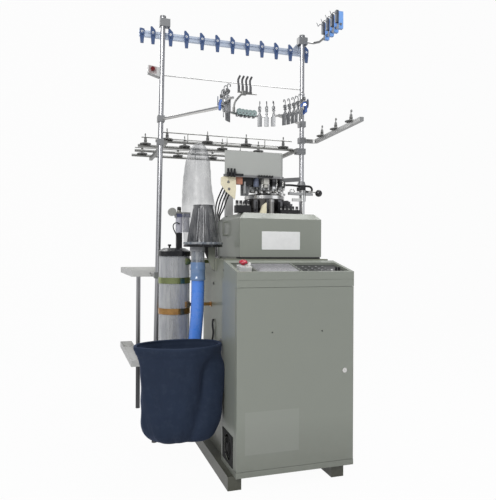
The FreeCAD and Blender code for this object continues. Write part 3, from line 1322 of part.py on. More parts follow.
LOWER_ARM_H = 22.0
LOWER_ARM_START_Y = 777.0
LOWER_HOLDERS = (691.0, 508.0, 324.0)


def lower_arm_top(y):
    """The top of the lower side arm, which rises a little towards its front end."""
    share = (LOWER_ARM_START_Y - y) / (LOWER_ARM_START_Y - LOWER_ARM_END_Y)
    return LOWER_ARM_Z + LOWER_ARM_H / 2 + LOWER_ARM_RISE * share


def cone_holders():
    """Four holders on each row of the rack, and three on the lower side arm."""
    solids = []
    top = RACK_Z + RACK_RAIL_R
    for y, first, x0 in ROWS:
        for i in range(4):
            solids.append(holder(first + (HOLDER_PITCH + 2) * i, y, top))
    for y in LOWER_HOLDERS:
        solids.append(holder(LOWER_ARM_X, y, lower_arm_top(y - HOLDER_R) + 2 * FIT))
    return Part.makeCompound(solids)


BAR_Y = POST_Y + POST_R


def top_bar():
    """The slotted bar behind both posts that carries the yarn guides, with its gusset at the right post."""
    x1 = BAR_LEFT_X + BAR_L
    y1 = BAR_Y + BAR_D
    z1 = BAR_Z + BAR_H
    body = box(BAR_LEFT_X, x1, BAR_Y, y1, BAR_Z, z1)
    slot_h = 9.0
    slot_z = BAR_Z + (BAR_H - slot_h) / 2
    slots = [box(BAR_LEFT_X - 1, x1 + 1, y, y + 5, slot_z, slot_z + slot_h) for y in (BAR_Y - 1, y1 - 4)]
    gusset_y = POST_Y + CLAMP_W / 2
    gusset = prism(((POST_RIGHT_X - 62, gusset_y, z1 - 1), (POST_RIGHT_X + 12, gusset_y, z1 - 1),
                    (POST_RIGHT_X + 12, gusset_y, SENSOR_ARM_Z), (POST_RIGHT_X - 18, gusset_y, SENSOR_ARM_Z)), (0, 4, 0))
    return join([body, gusset]).cut(slots[0]).cut(slots[1])


def guide_places():
    """Centre of every dark-blue guide along the top bar."""
    first = POST_RIGHT_X - 833
    return [BAR_LEFT_X + 15, BAR_LEFT_X + 78] + [first + GUIDE_PITCH * i for i in range(9)] + [POST_RIGHT_X + 34]


def yarn_guides():
    """Flat tension guides: a tapered body whose left shoulder runs up to a point, with a round pin."""
    solids = []
    y0 = BAR_Y - GUIDE_T
    z0 = BAR_Z - 42
    z1 = z0 + GUIDE_H
    half = GUIDE_W / 2
    for number, x in enumerate(guide_places()):
        tip = 20 if number else 4
        body = prism(((x - half + 5, y0, z0), (x + half - 5, y0, z0), (x + half, y0, z1 - 20), (x + half, y0, z1),
                      (x - 5, y0, z1 + tip), (x - half, y0, z1 + tip - 2), (x - half, y0, z1 - 20)), (0, GUIDE_T, 0))
        pin = bent_wire(((x, y0 - 10, z0 + 50), (x, y0 + 1, z0 + 50)), 4)
        solids.append(join([body, pin]))
    return Part.makeCompound(solids)


def flat_bar(points, width, height):
    """A bar of rectangular section with mitred bends in plan."""
    path = Part.makePolygon([V(*p) for p in points])
    run = V(*points[1]) - V(*points[0])
    side = run.cross(UP).normalize() * (width / 2)
    lift = UP * (height / 2)
    a = V(*points[0])
    section = Part.makePolygon([a + side + lift, a - side + lift, a - side - lift, a + side - lift, a + side + lift])
    return path.makePipeShell([section], True, False, 1)


def side_arms():
    """Bars that reach out from the posts: sensor arm, lower arm, tray arms, guide rod and the head stay."""
    half = CLAMP_W / 2
    solids = [bent_wire(((POST_RIGHT_X + half + 10, POST_Y, SENSOR_ARM_Z), (SENSOR_X - 24, POST_Y, SENSOR_ARM_Z),
                         (SENSOR_X, POST_Y - 38, SENSOR_Z), (SENSOR_X, 462, SENSOR_Z)), 7, 6)]
    solids.append(flat_bar(((POST_RIGHT_X + half, POST_Y, LOWER_ARM_Z), (LOWER_ARM_X - 18, POST_Y, LOWER_ARM_Z),
                            (LOWER_ARM_X, LOWER_ARM_START_Y, LOWER_ARM_Z),
                            (LOWER_ARM_X, LOWER_ARM_END_Y, LOWER_ARM_Z + LOWER_ARM_RISE)), 24, LOWER_ARM_H))
    solids.append(rod((post_x(UPPER_TRAY_MID), POST_Y + half, UPPER_TRAY_MID), (post_x(UPPER_TRAY_MID), TRAY_Y, UPPER_TRAY_MID), 10))
    solids.append(rod((LOWER_TRAY_ARM_X, POST_Y + half, LOWER_TRAY_MID), (LOWER_TRAY_ARM_X, TRAY_Y, LOWER_TRAY_MID), 10))
    solids.append(bent_wire(((post_x(GUIDE_ROD_Z) + POST_R, POST_Y, GUIDE_ROD_Z), (POST_RIGHT_X - POST_R, POST_Y, GUIDE_ROD_Z)), 3))
    solids.append(head_stay())
    return Part.makeCompound(solids)


def head_stay():
    """The flat bar from the head plate's rear bar to the cone on the right post."""
    height = 26.0
    y0 = GREY_POST[1]
    a = V(EAR_X1 - 42, y0, PLATE_TOP)
    b = V(POST_RIGHT_X, POST_Y, STAY_Z)
    along = V(b.x - a.x, b.y - a.y, 0).normalize()
    side = along.cross(UP) * 4
    up = UP * height
    c = b - along * (POST_R + 10)
    outline = (a, V(c.x, c.y, b.z), b, b + up, V(c.x, c.y, b.z) + up, a + up)
    bar = prism([tuple(corner + side) for corner in outline], tuple(side * -2))
    foot = box(EAR_X1 - 60, EAR_X1 - 4, y0 - 18, y0 + 12, PLATE_TOP, PLATE_TOP + 5)
    return join([bar, foot]).cut(disc(POST_RIGHT_X, POST_Y, STAY_Z - 5, STAY_Z + 60, POST_R + 0.3))


def stop_sensors():
    """Light-blue yarn sensors on the upper right arm, each with a dark side block and a wire feeler."""
    solids = []
    z = SENSOR_Z
    arm_half = 7 + GAP
    for i in range(4):
        y = 655 - SENSOR_PITCH * i
        body = box(SENSOR_X - 13, SENSOR_X + 17, y - 11, y + 11, z - 24, z + 76)
        block = box(SENSOR_X - 27, SENSOR_X - 12, y - 9, y + 13, z + 12, z + 82)
        feeler = bent_wire(((SENSOR_X - 20, y, z + 60), (SENSOR_X - 40, y + 4, z + 70), (SENSOR_X - 52, y + 6, z + 56),
                            (SENSOR_X - 62, y + 6, z + 76)), 2, 4)
        hole = box(SENSOR_X - arm_half, SENSOR_X + arm_half, y - 20, y + 20, z - arm_half, z + arm_half)
        solids.append(join([body, block, feeler]).cut(hole))
    return Part.makeCompound(solids)


def indicator_lamp():
    """The signal lamp on the left post: a small housing with a slanted lower edge, and its red lens."""
    z = 2150.0
    x1 = post_x(z) - POST_R
    x0 = x1 - 66
    housing = prism(((x0, POST_Y - 22, z - 20), (x1, POST_Y - 22, z - 40), (x1, POST_Y - 22, z + 14), (x0, POST_Y - 22, z + 22)),
                    (0, 44, 0))
    housing = housing.cut(left_post(z - 60, z + 60, POST_R))
    lens = rod((x0 + 24, POST_Y - 34, z), (x0 + 24, POST_Y - 22, z), 12)
    return Part.makeCompound([housing, lens])


def ring_point(degrees, r=RING_R):
    """A point on the tensioner ring; zero degrees is its rearmost point, positive to the right."""
    a = math.radians(degrees)
    return (RING_X + r * math.sin(a), RING_Y + r * math.cos(a), RING_Z)


def tensioner_ring():
    """The open ring of square bar on two arms from the creel posts."""
    b = RING_BAR / 2
    whole = ring(RING_X, RING_Y, RING_Z - b, RING_Z + b, RING_R + b, RING_R - b)
    far = 2 * RING_R
    left_end = ring_point(-RING_HALF_ANGLE, far)
    right_end = ring_point(RING_HALF_ANGLE, far)
    mouth = prism(((RING_X, RING_Y, RING_Z - 10), (left_end[0], left_end[1], RING_Z - 10), (RING_X - far, RING_Y - far, RING_Z - 10),
                   (RING_X + far, RING_Y - far, RING_Z - 10), (right_end[0], right_end[1], RING_Z - 10)), (0, 0, 20))
    half = CLAMP_W / 2
    x = post_x(RING_Z)
    arms = [rod((x + half - 4, POST_Y - half + 4, RING_Z), ring_point(-66), 9),
            rod((POST_RIGHT_X - half + 4, POST_Y - half + 4, RING_Z + 36), ring_point(44), 9)]
    shape = join([whole.cut(mouth)] + arms)
    shape = shape.cut(box(x - half, x + half, POST_Y - half, POST_Y + half, RING_Z - 18, RING_Z + 18))
    return shape.cut(box(POST_RIGHT_X - half, POST_RIGHT_X + half, POST_Y - half, POST_Y + half, RING_Z + 18, RING_Z + 54))


HOOKED = (-105, -95, -52, -44, 14.5, 25, 35.5, 54, 62, 71, 80)
WITH_DISC = (-76, 92, 102)
YARN_BRAKES = (-21, -14.5, -8, -1.5, 5)


def ring_clip(x, y, z):
    """A clip closed round the square ring bar, held by its top and bottom."""
    b = RING_BAR / 2
    return box(x - 8, x + 8, y - b - 4.5, y + b + 4.5, z - b - 7, z + b + 7).cut(box(x - 9, x + 9, y - b - 1.5, y + b + 1.5, z - b, z + b))


def hooked_tensioner(x, y, z):
    """A tensioner: a hanging plate under a short post that ends in a hook."""
    plate = box(x - 10, x + 10, y - 13.5, y - 9, z - 60, z + 10)
    post = box(x - 5, x + 5, y - 5, y + 5, z + 11, z + 56)
    shelf = box(x - 9, x + 9, y - 9, y + 9, z + 28, z + 33)
    hook = bent_wire(((x, y, z + 54), (x, y, z + 76), (x, y - 12, z + 82), (x, y - 18, z + 70)), 3.5, 3)
    return [plate, post, shelf, hook]


def disc_tensioner(x, y, z):
    """A tensioner with a large round disc on its outer side."""
    parts = hooked_tensioner(x, y, z)
    wheel = many_sided(0, 0, 0, 5, 25, 12)
    wheel.rotate(V(0, 0, 0), V(1, 0, 0), -90)
    wheel.translate(V(x, y + 16, z + 22))
    parts.append(wheel)
    parts.append(box(x - 5, x + 5, y + 4, y + 17, z + 16, z + 28))
    return parts


def yarn_brake(x, y, z):
    """A low yarn brake: a pair of small discs on the clip's inner face."""
    parts = []
    for offset in (0, 7):
        wheel = many_sided(0, 0, 0, 4, 17, 10)
        wheel.rotate(V(0, 0, 0), V(1, 0, 0), -90)
        wheel.translate(V(x, y - 14 - offset, z + 12))
        parts.append(wheel)
    parts.append(box(x - 4, x + 4, y - 24, y - 8, z + 4, z + 11))
    return parts


def tensioners():
    """All tensioners round the ring, and the centre guide."""
    kinds = [(angle, hooked_tensioner) for angle in HOOKED] + [(angle, disc_tensioner) for angle in WITH_DISC]
    kinds += [(angle, yarn_brake) for angle in YARN_BRAKES]
    x, y, z = ring_point(0)
    solids = []
    for angle, kind in kinds:
        unit = join([ring_clip(x, y, z)] + kind(x, y, z))
        unit.rotate(V(RING_X, RING_Y, 0), UP, -angle)
        solids.append(unit)
    solids.append(centre_guide())
    return Part.makeCompound(solids)


def centre_guide():
    """The centre yarn guide: a stem on the ring that carries a block with a row of four levers and a pin."""
    x, y, z = ring_point(-28)
    top = z + 118
    foot = box(x - 7, x + 7, y - 7, y + 7, z + RING_BAR / 2, z + 34)
    head_x = x + 72
    stem = bent_wire(((x, y, z + 30), (x + 6, y, z + 62), (head_x - 22, y, top)), 6, 6)
    block = box(head_x - 30, head_x, y - 8, y + 8, top - 12, top + 12)
    rail = box(head_x - 52, head_x + 34, y - 4, y + 4, top, top + 8)
    parts = [foot, stem, block, rail]
    for i in range(4):
        lever_x = head_x - 44 + 23 * i
        parts.append(box(lever_x - 6, lever_x + 6, y - 7, y + 7, top + 6, top + 40))
        parts.append(bent_wire(((lever_x, y, top + 38), (lever_x - 3, y, top + 74), (lever_x + 4, y - 12, top + 92)), 5, 3))
    parts.append(bent_wire(((head_x - 4, y, top - 4), (head_x + 62, y, top - 2)), 3, 4))
    return join(parts)


# ---- build, centre on the footprint and write -------------------------------------------
NODES = {
    "base_rails": base_rails,
    "pedestal_frame": pedestal_frame,
    "control_cabinet": control_cabinet,
    "cabinet_door": cabinet_door,
    "door_lock": door_lock,
    "console_tray": console_tray,
    "console_panel": console_panel,
    "keypad_panel": keypad_panel,
    "stop_box": stop_box,
    "stop_button": stop_button,
    "speed_knob": lambda: console_knob(0),
    "mode_knob": lambda: console_knob(1),
    "fan_grille": fan_grille,
    "fan_rotor": fan_rotor,
    "controller_box": controller_box,
    "main_motor": main_motor,
    "motor_pulley": motor_pulley,
    "drive_belt": drive_belt,
    "cylinder_drive": cylinder_drive,
    "head_housing": head_housing,
    "cam_box": cam_box,
    "needle_cylinder": needle_cylinder,
    "needles": needles,
    "sinker_ring": sinker_ring,
    "dial": dial,
    "yarn_fingers": yarn_fingers,
    "selector_units": selector_units,
    "valve_banks": valve_banks,
    "cream_brackets": cream_brackets,
    "head_plate": head_plate,
    "head_columns": head_columns,
    "can_cover": can_cover,
    "swing_arm": swing_arm,
    "lever_handle": lever_handle,
    "air_lines": air_lines,
    "outlet_flange": outlet_flange,
    "inner_cone": inner_cone,
    "clear_sleeve": clear_sleeve,
    "clear_tube": clear_tube,
    "blue_hose": blue_hose,
    "canister": canister,
    "canister_lid": canister_lid,
    "filter_mesh": filter_mesh,
    "canister_straps": canister_straps,
    "regulator": regulator,
    "regulator_knob": regulator_knob,
    "bag_hoop": bag_hoop,
    "collection_bag": collection_bag,
    "creel_posts": creel_posts,
    "creel_trays": creel_trays,
    "post_clamps": post_clamps,
    "cone_rack": cone_rack,
    "cone_holders": cone_holders,
    "top_bar": top_bar,
    "yarn_guides": yarn_guides,
    "side_arms": side_arms,
    "stop_sensors": stop_sensors,
    "indicator_lamp": indicator_lamp,
    "tensioner_ring": tensioner_ring,
    "tensioners": tensioners,
}


def main():
    os.makedirs("parts", exist_ok=True)
    shapes = {name: build() for name, build in NODES.items()}
    whole = FreeCAD.BoundBox()
    for shape in shapes.values():
        whole.add(shape.optimalBoundingBox(False))
    shift = V(-whole.Center.x, -whole.Center.y, 0)
    print("shift", round(shift.x, 4), round(shift.y, 4), "box", [round(v, 2) for v in (
        whole.XMin, whole.XMax, whole.YMin, whole.YMax, whole.ZMin, whole.ZMax)])
    for name, shape in shapes.items():
        shape.translate(shift)
        bad = [s for s in shape.Solids if not s.isValid()]
        print(name, len(shape.Solids), "solids", round(shape.Volume / 1000.0, 1), "cm3", "INVALID" if bad else "")
        shape.exportStep("parts/" + name + ".step")


main()
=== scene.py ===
# %% [markdown]
# # A hosiery knitting machine, dressed for the camera
# The solids of this machine come from a CAD model: sheet-metal cabinet, knitting head, creel and every
# moving piece. Here they get their finishes, and the soft and the very fine pieces are made anew: the
# cloth bag, the film sleeve, the hoses, wires and springs. All of it shares the CAD's own frame.

# %% Load the solids
import math

import bmesh
import bpy
import numpy as np
from mathutils import Matrix, Vector


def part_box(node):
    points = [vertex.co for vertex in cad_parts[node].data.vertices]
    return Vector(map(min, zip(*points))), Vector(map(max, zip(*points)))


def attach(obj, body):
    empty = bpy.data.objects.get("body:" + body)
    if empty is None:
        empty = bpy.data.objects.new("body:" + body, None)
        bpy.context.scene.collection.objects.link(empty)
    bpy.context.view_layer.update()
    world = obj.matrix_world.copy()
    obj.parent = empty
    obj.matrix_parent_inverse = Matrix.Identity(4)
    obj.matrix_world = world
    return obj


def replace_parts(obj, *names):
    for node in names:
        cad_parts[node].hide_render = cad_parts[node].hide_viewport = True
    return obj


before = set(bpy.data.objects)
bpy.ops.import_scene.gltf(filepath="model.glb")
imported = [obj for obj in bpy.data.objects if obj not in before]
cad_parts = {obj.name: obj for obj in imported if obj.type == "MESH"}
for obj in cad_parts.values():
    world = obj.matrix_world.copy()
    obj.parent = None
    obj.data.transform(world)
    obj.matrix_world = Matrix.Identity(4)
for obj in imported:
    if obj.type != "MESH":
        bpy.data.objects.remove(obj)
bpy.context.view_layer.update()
print("solids loaded:", len(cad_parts))

# %% [markdown]
# The machine was measured in millimetres from the lower front left corner of its cabinet. Keeping that
# way of counting makes each place in this file readable against a tape measure, so one function turns
# such a place into the frame's metres. It takes a single point or a whole array of them. A few heights and
# angles that several pieces share stand here too.

# %% Places in millimetres from the cabinet's corner
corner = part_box("control_cabinet")[0]
CONSOLE_EDGE = 1010.0                   # height of the console's front edge
TILT = math.atan2(50, 224)              # the console's slope falls 50 over a depth of 224
FLANGE_TOP = 1138.0                     # what the sleeve and the cone stand on
CONE_HEIGHT = 213.0


def place(points):
    """Metres in the frame = the cabinet's corner plus millimetres / 1000, with heights counted from the floor."""
    return np.asarray(points, float) / 1000 + np.array([corner.x, corner.y, 0.0])


def level_of(height):
    """A height in the frame's metres, for a shader."""
    return float(place((0, 0, height))[2])


def linked(name, data):
    """A new object in the scene."""
    made = bpy.data.objects.new(name, data)
    bpy.context.scene.collection.objects.link(made)
    return made


print("cabinet corner at", [round(v, 4) for v in corner])

# %% [markdown]
# The camera stands where the photographer stood: a little left of the machine and at chest height, looking
# slightly to the right. A view is three angles, so the camera's own axes are worked out from them.

# %% Camera
YAW, PITCH, ROLL = (math.radians(a) for a in (18.1062, 0.1959, 0.3056))
FIELD_OF_VIEW = 49.13       # degrees, over the picture's height
EYE = (-727.8, -2386.7, 1102.8)

ahead = Vector((math.sin(YAW) * math.cos(PITCH), math.cos(YAW) * math.cos(PITCH), math.sin(PITCH)))
level = Vector((math.cos(YAW), -math.sin(YAW), 0))
above = level.cross(ahead)
right = level * math.cos(ROLL) + above * math.sin(ROLL)
above = above * math.cos(ROLL) - level * math.sin(ROLL)

camera_data = bpy.data.cameras.new("camera")
camera_data.sensor_fit = "VERTICAL"
camera_data.angle = math.radians(FIELD_OF_VIEW)
camera_data.clip_end = 60
camera = linked("camera", camera_data)
camera.matrix_world = Matrix((right, above, -ahead)).transposed().to_4x4()
camera.location = Vector(place(EYE))
bpy.context.scene.camera = camera
print("camera at", [round(v, 3) for v in camera.location])

# %% [markdown]
# Shader maths reads best as arithmetic. A small class wraps a socket, so that `1 - mask` or `grain * 0.2`
# adds the Math node for it, and a second one, the recipe, makes every other kind of node in one way.

# %% Shader arithmetic
class Field:
    """A value that changes over a surface. Arithmetic on it adds Math nodes to its material."""

    def __init__(self, recipe, socket):
        self.recipe = recipe
        self.socket = socket

    def joined(self, operation, first, second):
        """The Math node of an operation, on fields or plain numbers."""
        return self.recipe.node("Math", {"operation": operation}, i0=first, i1=second)

    def clipped(self):
        """Held between 0 and 1."""
        return self.joined("MINIMUM", self.joined("MAXIMUM", self, 0.0), 1.0)

    def magnitude(self):
        return self.joined("ABSOLUTE", self, 0.0)


for sign, operation in {"add": "ADD", "sub": "SUBTRACT", "mul": "MULTIPLY", "truediv": "DIVIDE"}.items():
    setattr(Field, f"__{sign}__", lambda mine, other, kind=operation: mine.joined(kind, mine, other))
    setattr(Field, f"__r{sign}__", lambda mine, other, kind=operation: mine.joined(kind, other, mine))


class Recipe:
    """One material, or the world's light, in the making."""

    def __init__(self, name, family=bpy.data.materials):
        self.made = family.new(name)
        self.made.use_nodes = True
        self.tree = self.made.node_tree
        self.tree.nodes.clear()

    def node(self, kind, settings=None, out=0, **sockets):
        """Any node: its settings first, then values or links for its sockets, named or as i and a number."""
        made = self.tree.nodes.new("ShaderNode" + kind)
        for key, value in (settings or {}).items():
            setattr(made, key, value)
        for key, value in sockets.items():
            socket = made.inputs[int(key[1:])] if key[1:].isdigit() else made.inputs[key.replace("_", " ")]
            if isinstance(value, Field):
                self.tree.links.new(value.socket, socket)
            else:
                socket.default_value = value
        return Field(self, made.outputs[out]) if made.outputs else None

    def parts(self, kind, outputs, **sockets):
        """Several outputs of one node."""
        made = self.node(kind, **sockets).socket.node
        return [Field(self, made.outputs[key]) for key in outputs]

    def axes(self):
        """The three object coordinates as separate values."""
        return self.parts("SeparateXYZ", range(3), Vector=self.node("TexCoord", out="Object"))

    def noise(self, scale, detail=2.0, rough=0.5, stretch=(1, 1, 1)):
        """A cloudy value over the object's coordinates, drawn out where stretch is small."""
        spot = self.node("Mapping", Vector=self.node("TexCoord", out="Object"), Scale=stretch)
        return self.node("TexNoise", Vector=spot, Scale=scale, Detail=detail, Roughness=rough)

    def mixed(self, share, first, second):
        """A colour between two, by share."""
        return self.node("Mix", {"data_type": "RGBA"}, 2, i0=share, i6=first, i7=second)

    def bump(self, height, strength, distance=0.001):
        return self.node("Bump", Strength=strength, Distance=distance, Height=height)

    def inside(self, low, high, soft=0.004):
        """1 within a box of the machine's millimetres and 0 outside it, with a soft edge."""
        share = 1.0
        for axis, start, end in zip(self.axes(), place(low), place(high)):
            middle, half = (start + end) / 2, (end - start) / 2
            share = ((half - (axis - float(middle)).magnitude()) / soft + 0.5).clipped() * share
        return share

    def surface(self, shader, end="OutputMaterial"):
        """The finished material or world, with this shader at its end."""
        self.node(end, Surface=shader)
        return self.made

    def done(self, **sockets):
        """The material, shown by one Principled shader."""
        return self.surface(self.node("BsdfPrincipled", **sockets))


def tone(red, green, blue):
    """A colour as it reads on a screen, 0 to 255, turned into the linear light that shaders use."""
    share = np.array([red, green, blue]) / 255
    light = np.where(share > 0.04045, ((share + 0.055) / 1.055) ** 2.4, share / 12.92)
    return (*map(float, light), 1.0)


def darker(colour, factor):
    """The same colour with its light cut, or raised where the factor is over 1."""
    return tuple(c * factor for c in colour[:3]) + (1.0,)


print("shader arithmetic ready")

# %% [markdown]
# ## Finishes
# The sheet metal has a satin powder coat. Close up such a coat has an orange-peel surface, over a hand's
# width it is a little uneven, and near the floor it is darker: dirt, and on the stand and rails mostly
# painted shade. Three noises of different sizes give that.

# %% Powder coat
def powder_coat(name, colour, patch=None, dirt_and_shade_top=0.32, dirt_and_shade_share=0.5, pit_shade=None):
    """Colour = coat, a little darker where a wide noise is high, darker towards the floor for dirt and painted shade;
    bump = fine noise.

    A patch is a box with a paler and smoother coat. A pit_shade box holds painted shade: all below the console's slope
    within it is dark.
    """
    coat = Recipe(name)
    wide = coat.noise(3.5, 3)
    height = coat.axes()[2]
    # dirt and painted shade: darker towards the floor, strongest on the stand and rails
    dirt_and_shade = ((dirt_and_shade_top - height) * 3).clipped() * (coat.noise(14, 4, 0.65) * 0.6 + 0.4)
    shade = coat.mixed(wide * 0.35, colour, darker(colour, 0.9))
    shade = coat.mixed((dirt_and_shade * dirt_and_shade_share).clipped(), shade, tone(66, 65, 54))
    rubbed = coat.noise(55, 5, 0.7, (1, 1, 0.3))
    rough = 0.4 + wide * 0.1 + rubbed * 0.1
    if patch:
        mask = coat.inside(*patch)
        shade = coat.mixed(mask * 0.22, shade, tone(170, 172, 166))
        rough = rough - mask * 0.08
    # painted shade: in the box under the stop button, all below the console's slope is nearly black
    if pit_shade:
        _, back, up = coat.axes()
        out = (up - level_of(CONSOLE_EDGE)) * math.cos(TILT) - (back - float(place((0, 0, 0))[1])) * math.sin(TILT)
        shade = coat.mixed(coat.inside(*pit_shade) * ((out + 0.002) * -900).clipped(), shade, tone(34, 34, 36))
    return coat.done(Base_Color=shade, Roughness=rough, Specular_IOR_Level=0.45, Coat_Weight=0.4,
                     Coat_Roughness=0.2, Normal=coat.bump(coat.noise(850, 2), 0.08, 0.0003))


PAINT = tone(147, 151, 141)
green_grey = powder_coat("green_grey_coat", PAINT)
# painted shade in the console's recess under the stop button
console_coat_pit_shade = powder_coat("console_coat_pit_shade", PAINT, pit_shade=((19, 11, 960), (103, 178, 1110)))
# painted shade: the stand darkens strongly towards the floor, and the rails' colour is made dark, for the shade at the
# machine's foot and under the bag
stand_coat_painted_shade = powder_coat("stand_coat_painted_shade", tone(140, 143, 127), None, 0.66, 0.95)
rail_coat_painted_shade = powder_coat("rail_coat_painted_shade", tone(88, 90, 78), None, 0.3, 0.9)
door_coat = powder_coat("door_coat", PAINT, ((43, -3, 168), (311, 6, 365)))
light_coat = powder_coat("light_grey_coat", tone(182, 184, 179))
tray_coat = powder_coat("tray_coat", tone(206, 206, 203))
print("powder coats made")

# %% [markdown]
# Bare metal shows how it was worked. Tubes are drawn, so their fine lines run along them; turned parts are
# bright and slightly cloudy with oil; castings are rough. One recipe gives them all: the size and stretch of
# its noise, how deep that noise goes and how stained the metal is tell one metal from the next.

# %% Metals
def bare_metal(name, colour, rough, stretch=(1, 1, 1), scale=240.0, spread=0.16, bump=0.05, stain=0.25,
               painted_shade_below=None):
    """Metal whose roughness and tint follow one stretched noise, with oil stains from a wide one, and painted shade
    below a height if one is given.
    """
    metal = Recipe(name)
    lines = metal.noise(scale, 3, 0.6, stretch)
    stains = metal.noise(9, 4, 0.6)
    shade = metal.mixed(lines * 0.5, colour, darker(colour, 0.72))
    shade = metal.mixed(((stains - 0.45) * 3).clipped() * stain, shade, darker(colour, 0.45))
    # painted shade: darker below the given height
    if painted_shade_below:
        shade = metal.mixed(((painted_shade_below - metal.axes()[2]) * 1.6).clipped(), shade, tone(84, 84, 86))
    return metal.done(Base_Color=shade, Metallic=1.0, Roughness=rough + lines * spread,
                      Normal=metal.bump(lines, bump, 0.0004))


# painted shade: the drawn tubes darken below 0.95 m
tube_metal = bare_metal("drawn_tube", tone(206, 206, 208), 0.28, (1, 1, 0.02), 120, 0.04, 0.0, 0.1, 0.95)
turned_metal = bare_metal("turned_steel", tone(176, 175, 172), 0.24, (1, 1, 12), 60, 0.2)
plate_metal = bare_metal("ground_plate", tone(178, 178, 177), 0.3, (0.05, 1, 1), 200, 0.2)
bright_metal = bare_metal("bright_plate", tone(236, 235, 232), 0.16, (1, 1, 1), 120, 0.1, 0.02, 0.1)
cast_metal = bare_metal("oily_casting", tone(84, 82, 80), 0.42, (1, 1, 1), 380, 0.2, 0.25, 0.4)
soft_alloy = bare_metal("tumbled_alloy", tone(160, 161, 162), 0.42, (1, 1, 1), 320, 0.16, 0.1, 0.15)
dark_alloy = bare_metal("dark_alloy", tone(104, 104, 106), 0.4, (1, 1, 1), 320, 0.16, 0.1, 0.3)
bar_steel = bare_metal("bar_steel", tone(214, 224, 240), 0.48, (0.3, 1, 1), 40, 0.05, 0.0, 0.1)
zinc = bare_metal("zinc_plate", tone(160, 160, 157), 0.34, (1, 1, 1), 45, 0.2, 0.03)


def passivated(name):
    """Zinc strap with an iridescent film: olive on the upper band, copper on the lower, cloudy in between."""
    strap = Recipe(name)
    cloud = strap.noise(26, 4, 0.6)
    low = ((0.86 - strap.axes()[2]) * 20 + 0.5).clipped()
    upper = strap.mixed(cloud, tone(196, 206, 150), tone(128, 138, 92))
    lower = strap.mixed(cloud, tone(222, 176, 112), tone(140, 98, 62))
    return strap.done(Base_Color=strap.mixed(low, upper, lower), Metallic=1.0, Roughness=0.14 + cloud * 0.16,
                      Normal=strap.bump(strap.noise(90, 2), 0.03, 0.0004))


strap_metal = passivated("passivated_strap")
print("metals made")

# %% [markdown]
# Moulded plastic is one colour with a fine grain. What sets one plastic apart from another is how glossy it
# is, so one recipe takes a colour, a roughness and the depth of its grain.

# %% Plastics
def plastic(name, colour, rough=0.4, grain=0.08, coat=0.0, scale=600.0):
    """Plastic with a fine moulded grain, and a little dust that dulls and lightens it."""
    mass = Recipe(name)
    dust = ((mass.noise(22, 5, 0.7) - 0.42) * 2.2).clipped()
    shade = mass.mixed(dust * 0.14, colour, tone(150, 150, 145))
    return mass.done(Base_Color=shade, Roughness=rough + dust * 0.16, Coat_Weight=coat, Coat_Roughness=0.12,
                     Normal=mass.bump(mass.noise(scale, 2), grain, 0.0003))


black_matte = plastic("black_moulding", tone(30, 30, 32), 0.5, 0.15)
black_gloss = plastic("black_glossy_moulding", tone(18, 18, 22), 0.16, 0.04, 0.4)
red_mould = plastic("red_button", tone(196, 34, 62), 0.22, 0.03, 0.5)
guide_mould = plastic("dark_blue_moulding", tone(66, 88, 130), 0.4)
teal_mould = plastic("teal_moulding", tone(158, 176, 174), 0.4)
wheel_mould = plastic("wheel_moulding", tone(118, 124, 138), 0.6)
feed_blue = plastic("feed_blue_moulding", tone(84, 122, 200), 0.45)
rubber_black = plastic("black_rubber", tone(30, 30, 32), 0.6, 0.2)
belt_rubber = plastic("belt_rubber", tone(34, 34, 34), 0.7, 0.3)
white_plate = plastic("white_enamel", tone(246, 246, 244), 0.3, 0.02)
hose_skin = plastic("blue_hose_skin", tone(92, 152, 252), 0.26, 0.05, 0.5, 90.0)
cuff_skin = plastic("cuff_skin", tone(112, 142, 184), 0.14, 0.03, 0.8, 90.0)
panel_skin = plastic("grey_panel_skin", tone(138, 136, 142), 0.22, 0.03, 0.6, 90.0)
holder_mould = plastic("holder_moulding", tone(132, 132, 130), 0.45)
fan_black = plastic("fan_plastic", tone(16, 16, 18), 0.9, 0.1)
key_skin = plastic("key_caps", tone(150, 150, 150), 0.35)
dark_panel = plastic("dark_panel", tone(52, 52, 54), 0.34)
print("plastics made")

# %% [markdown]
# Clear plastic is hard to fake with a plain see-through colour: it is clearest where the surface faces the
# eye and greyest at its edges, where one looks through more of it. The Fresnel share of a layer does that
# without knowing the camera. Pale streaks sit on top: the dust and scratches of use, and painted highlights.

# %% Clear plastics
def clear_plastic(name, colour, least, most, rough=0.12, streak=(1, 1, 0.2), scale=30.0, clear_below=None):
    """Alpha = least + (most - least) * (edge share + streaks), so edges and streaks are seen; the streaks are dust and
    painted highlights.
    """
    wall = Recipe(name)
    streaks = wall.noise(scale, 4, 0.6, streak)
    lines = ((streaks - 0.42) * 3).clipped()
    edge = wall.node("LayerWeight", out=1, Blend=0.35)
    alpha = (least + (edge * 0.8 + lines * 0.35) * (most - least)).clipped()
    if clear_below:
        alpha = alpha * (((wall.axes()[2] - clear_below) * 25).clipped() * 0.35 + 0.65)
    # dust and painted highlights: the streaks turn the colour nearly white
    shade = wall.mixed(lines, colour, tone(236, 236, 234))
    return wall.done(Base_Color=shade, Roughness=rough + lines * 0.15, Alpha=alpha, IOR=1.45,
                     Normal=wall.bump(streaks, 0.25, 0.002))


film = clear_plastic("sleeve_film", tone(112, 115, 119), 0.31, 0.68, 0.16, (1, 1, 0.25), 26.0, 1.34)
clear_wall = clear_plastic("canister_wall", tone(224, 226, 230), 0.26, 0.85, 0.1, (1, 1, 0.12), 40.0)
clear_grey = clear_plastic("clear_grey_tube", tone(138, 146, 156), 0.45, 0.9, 0.12, (1, 1, 0.1), 60.0)


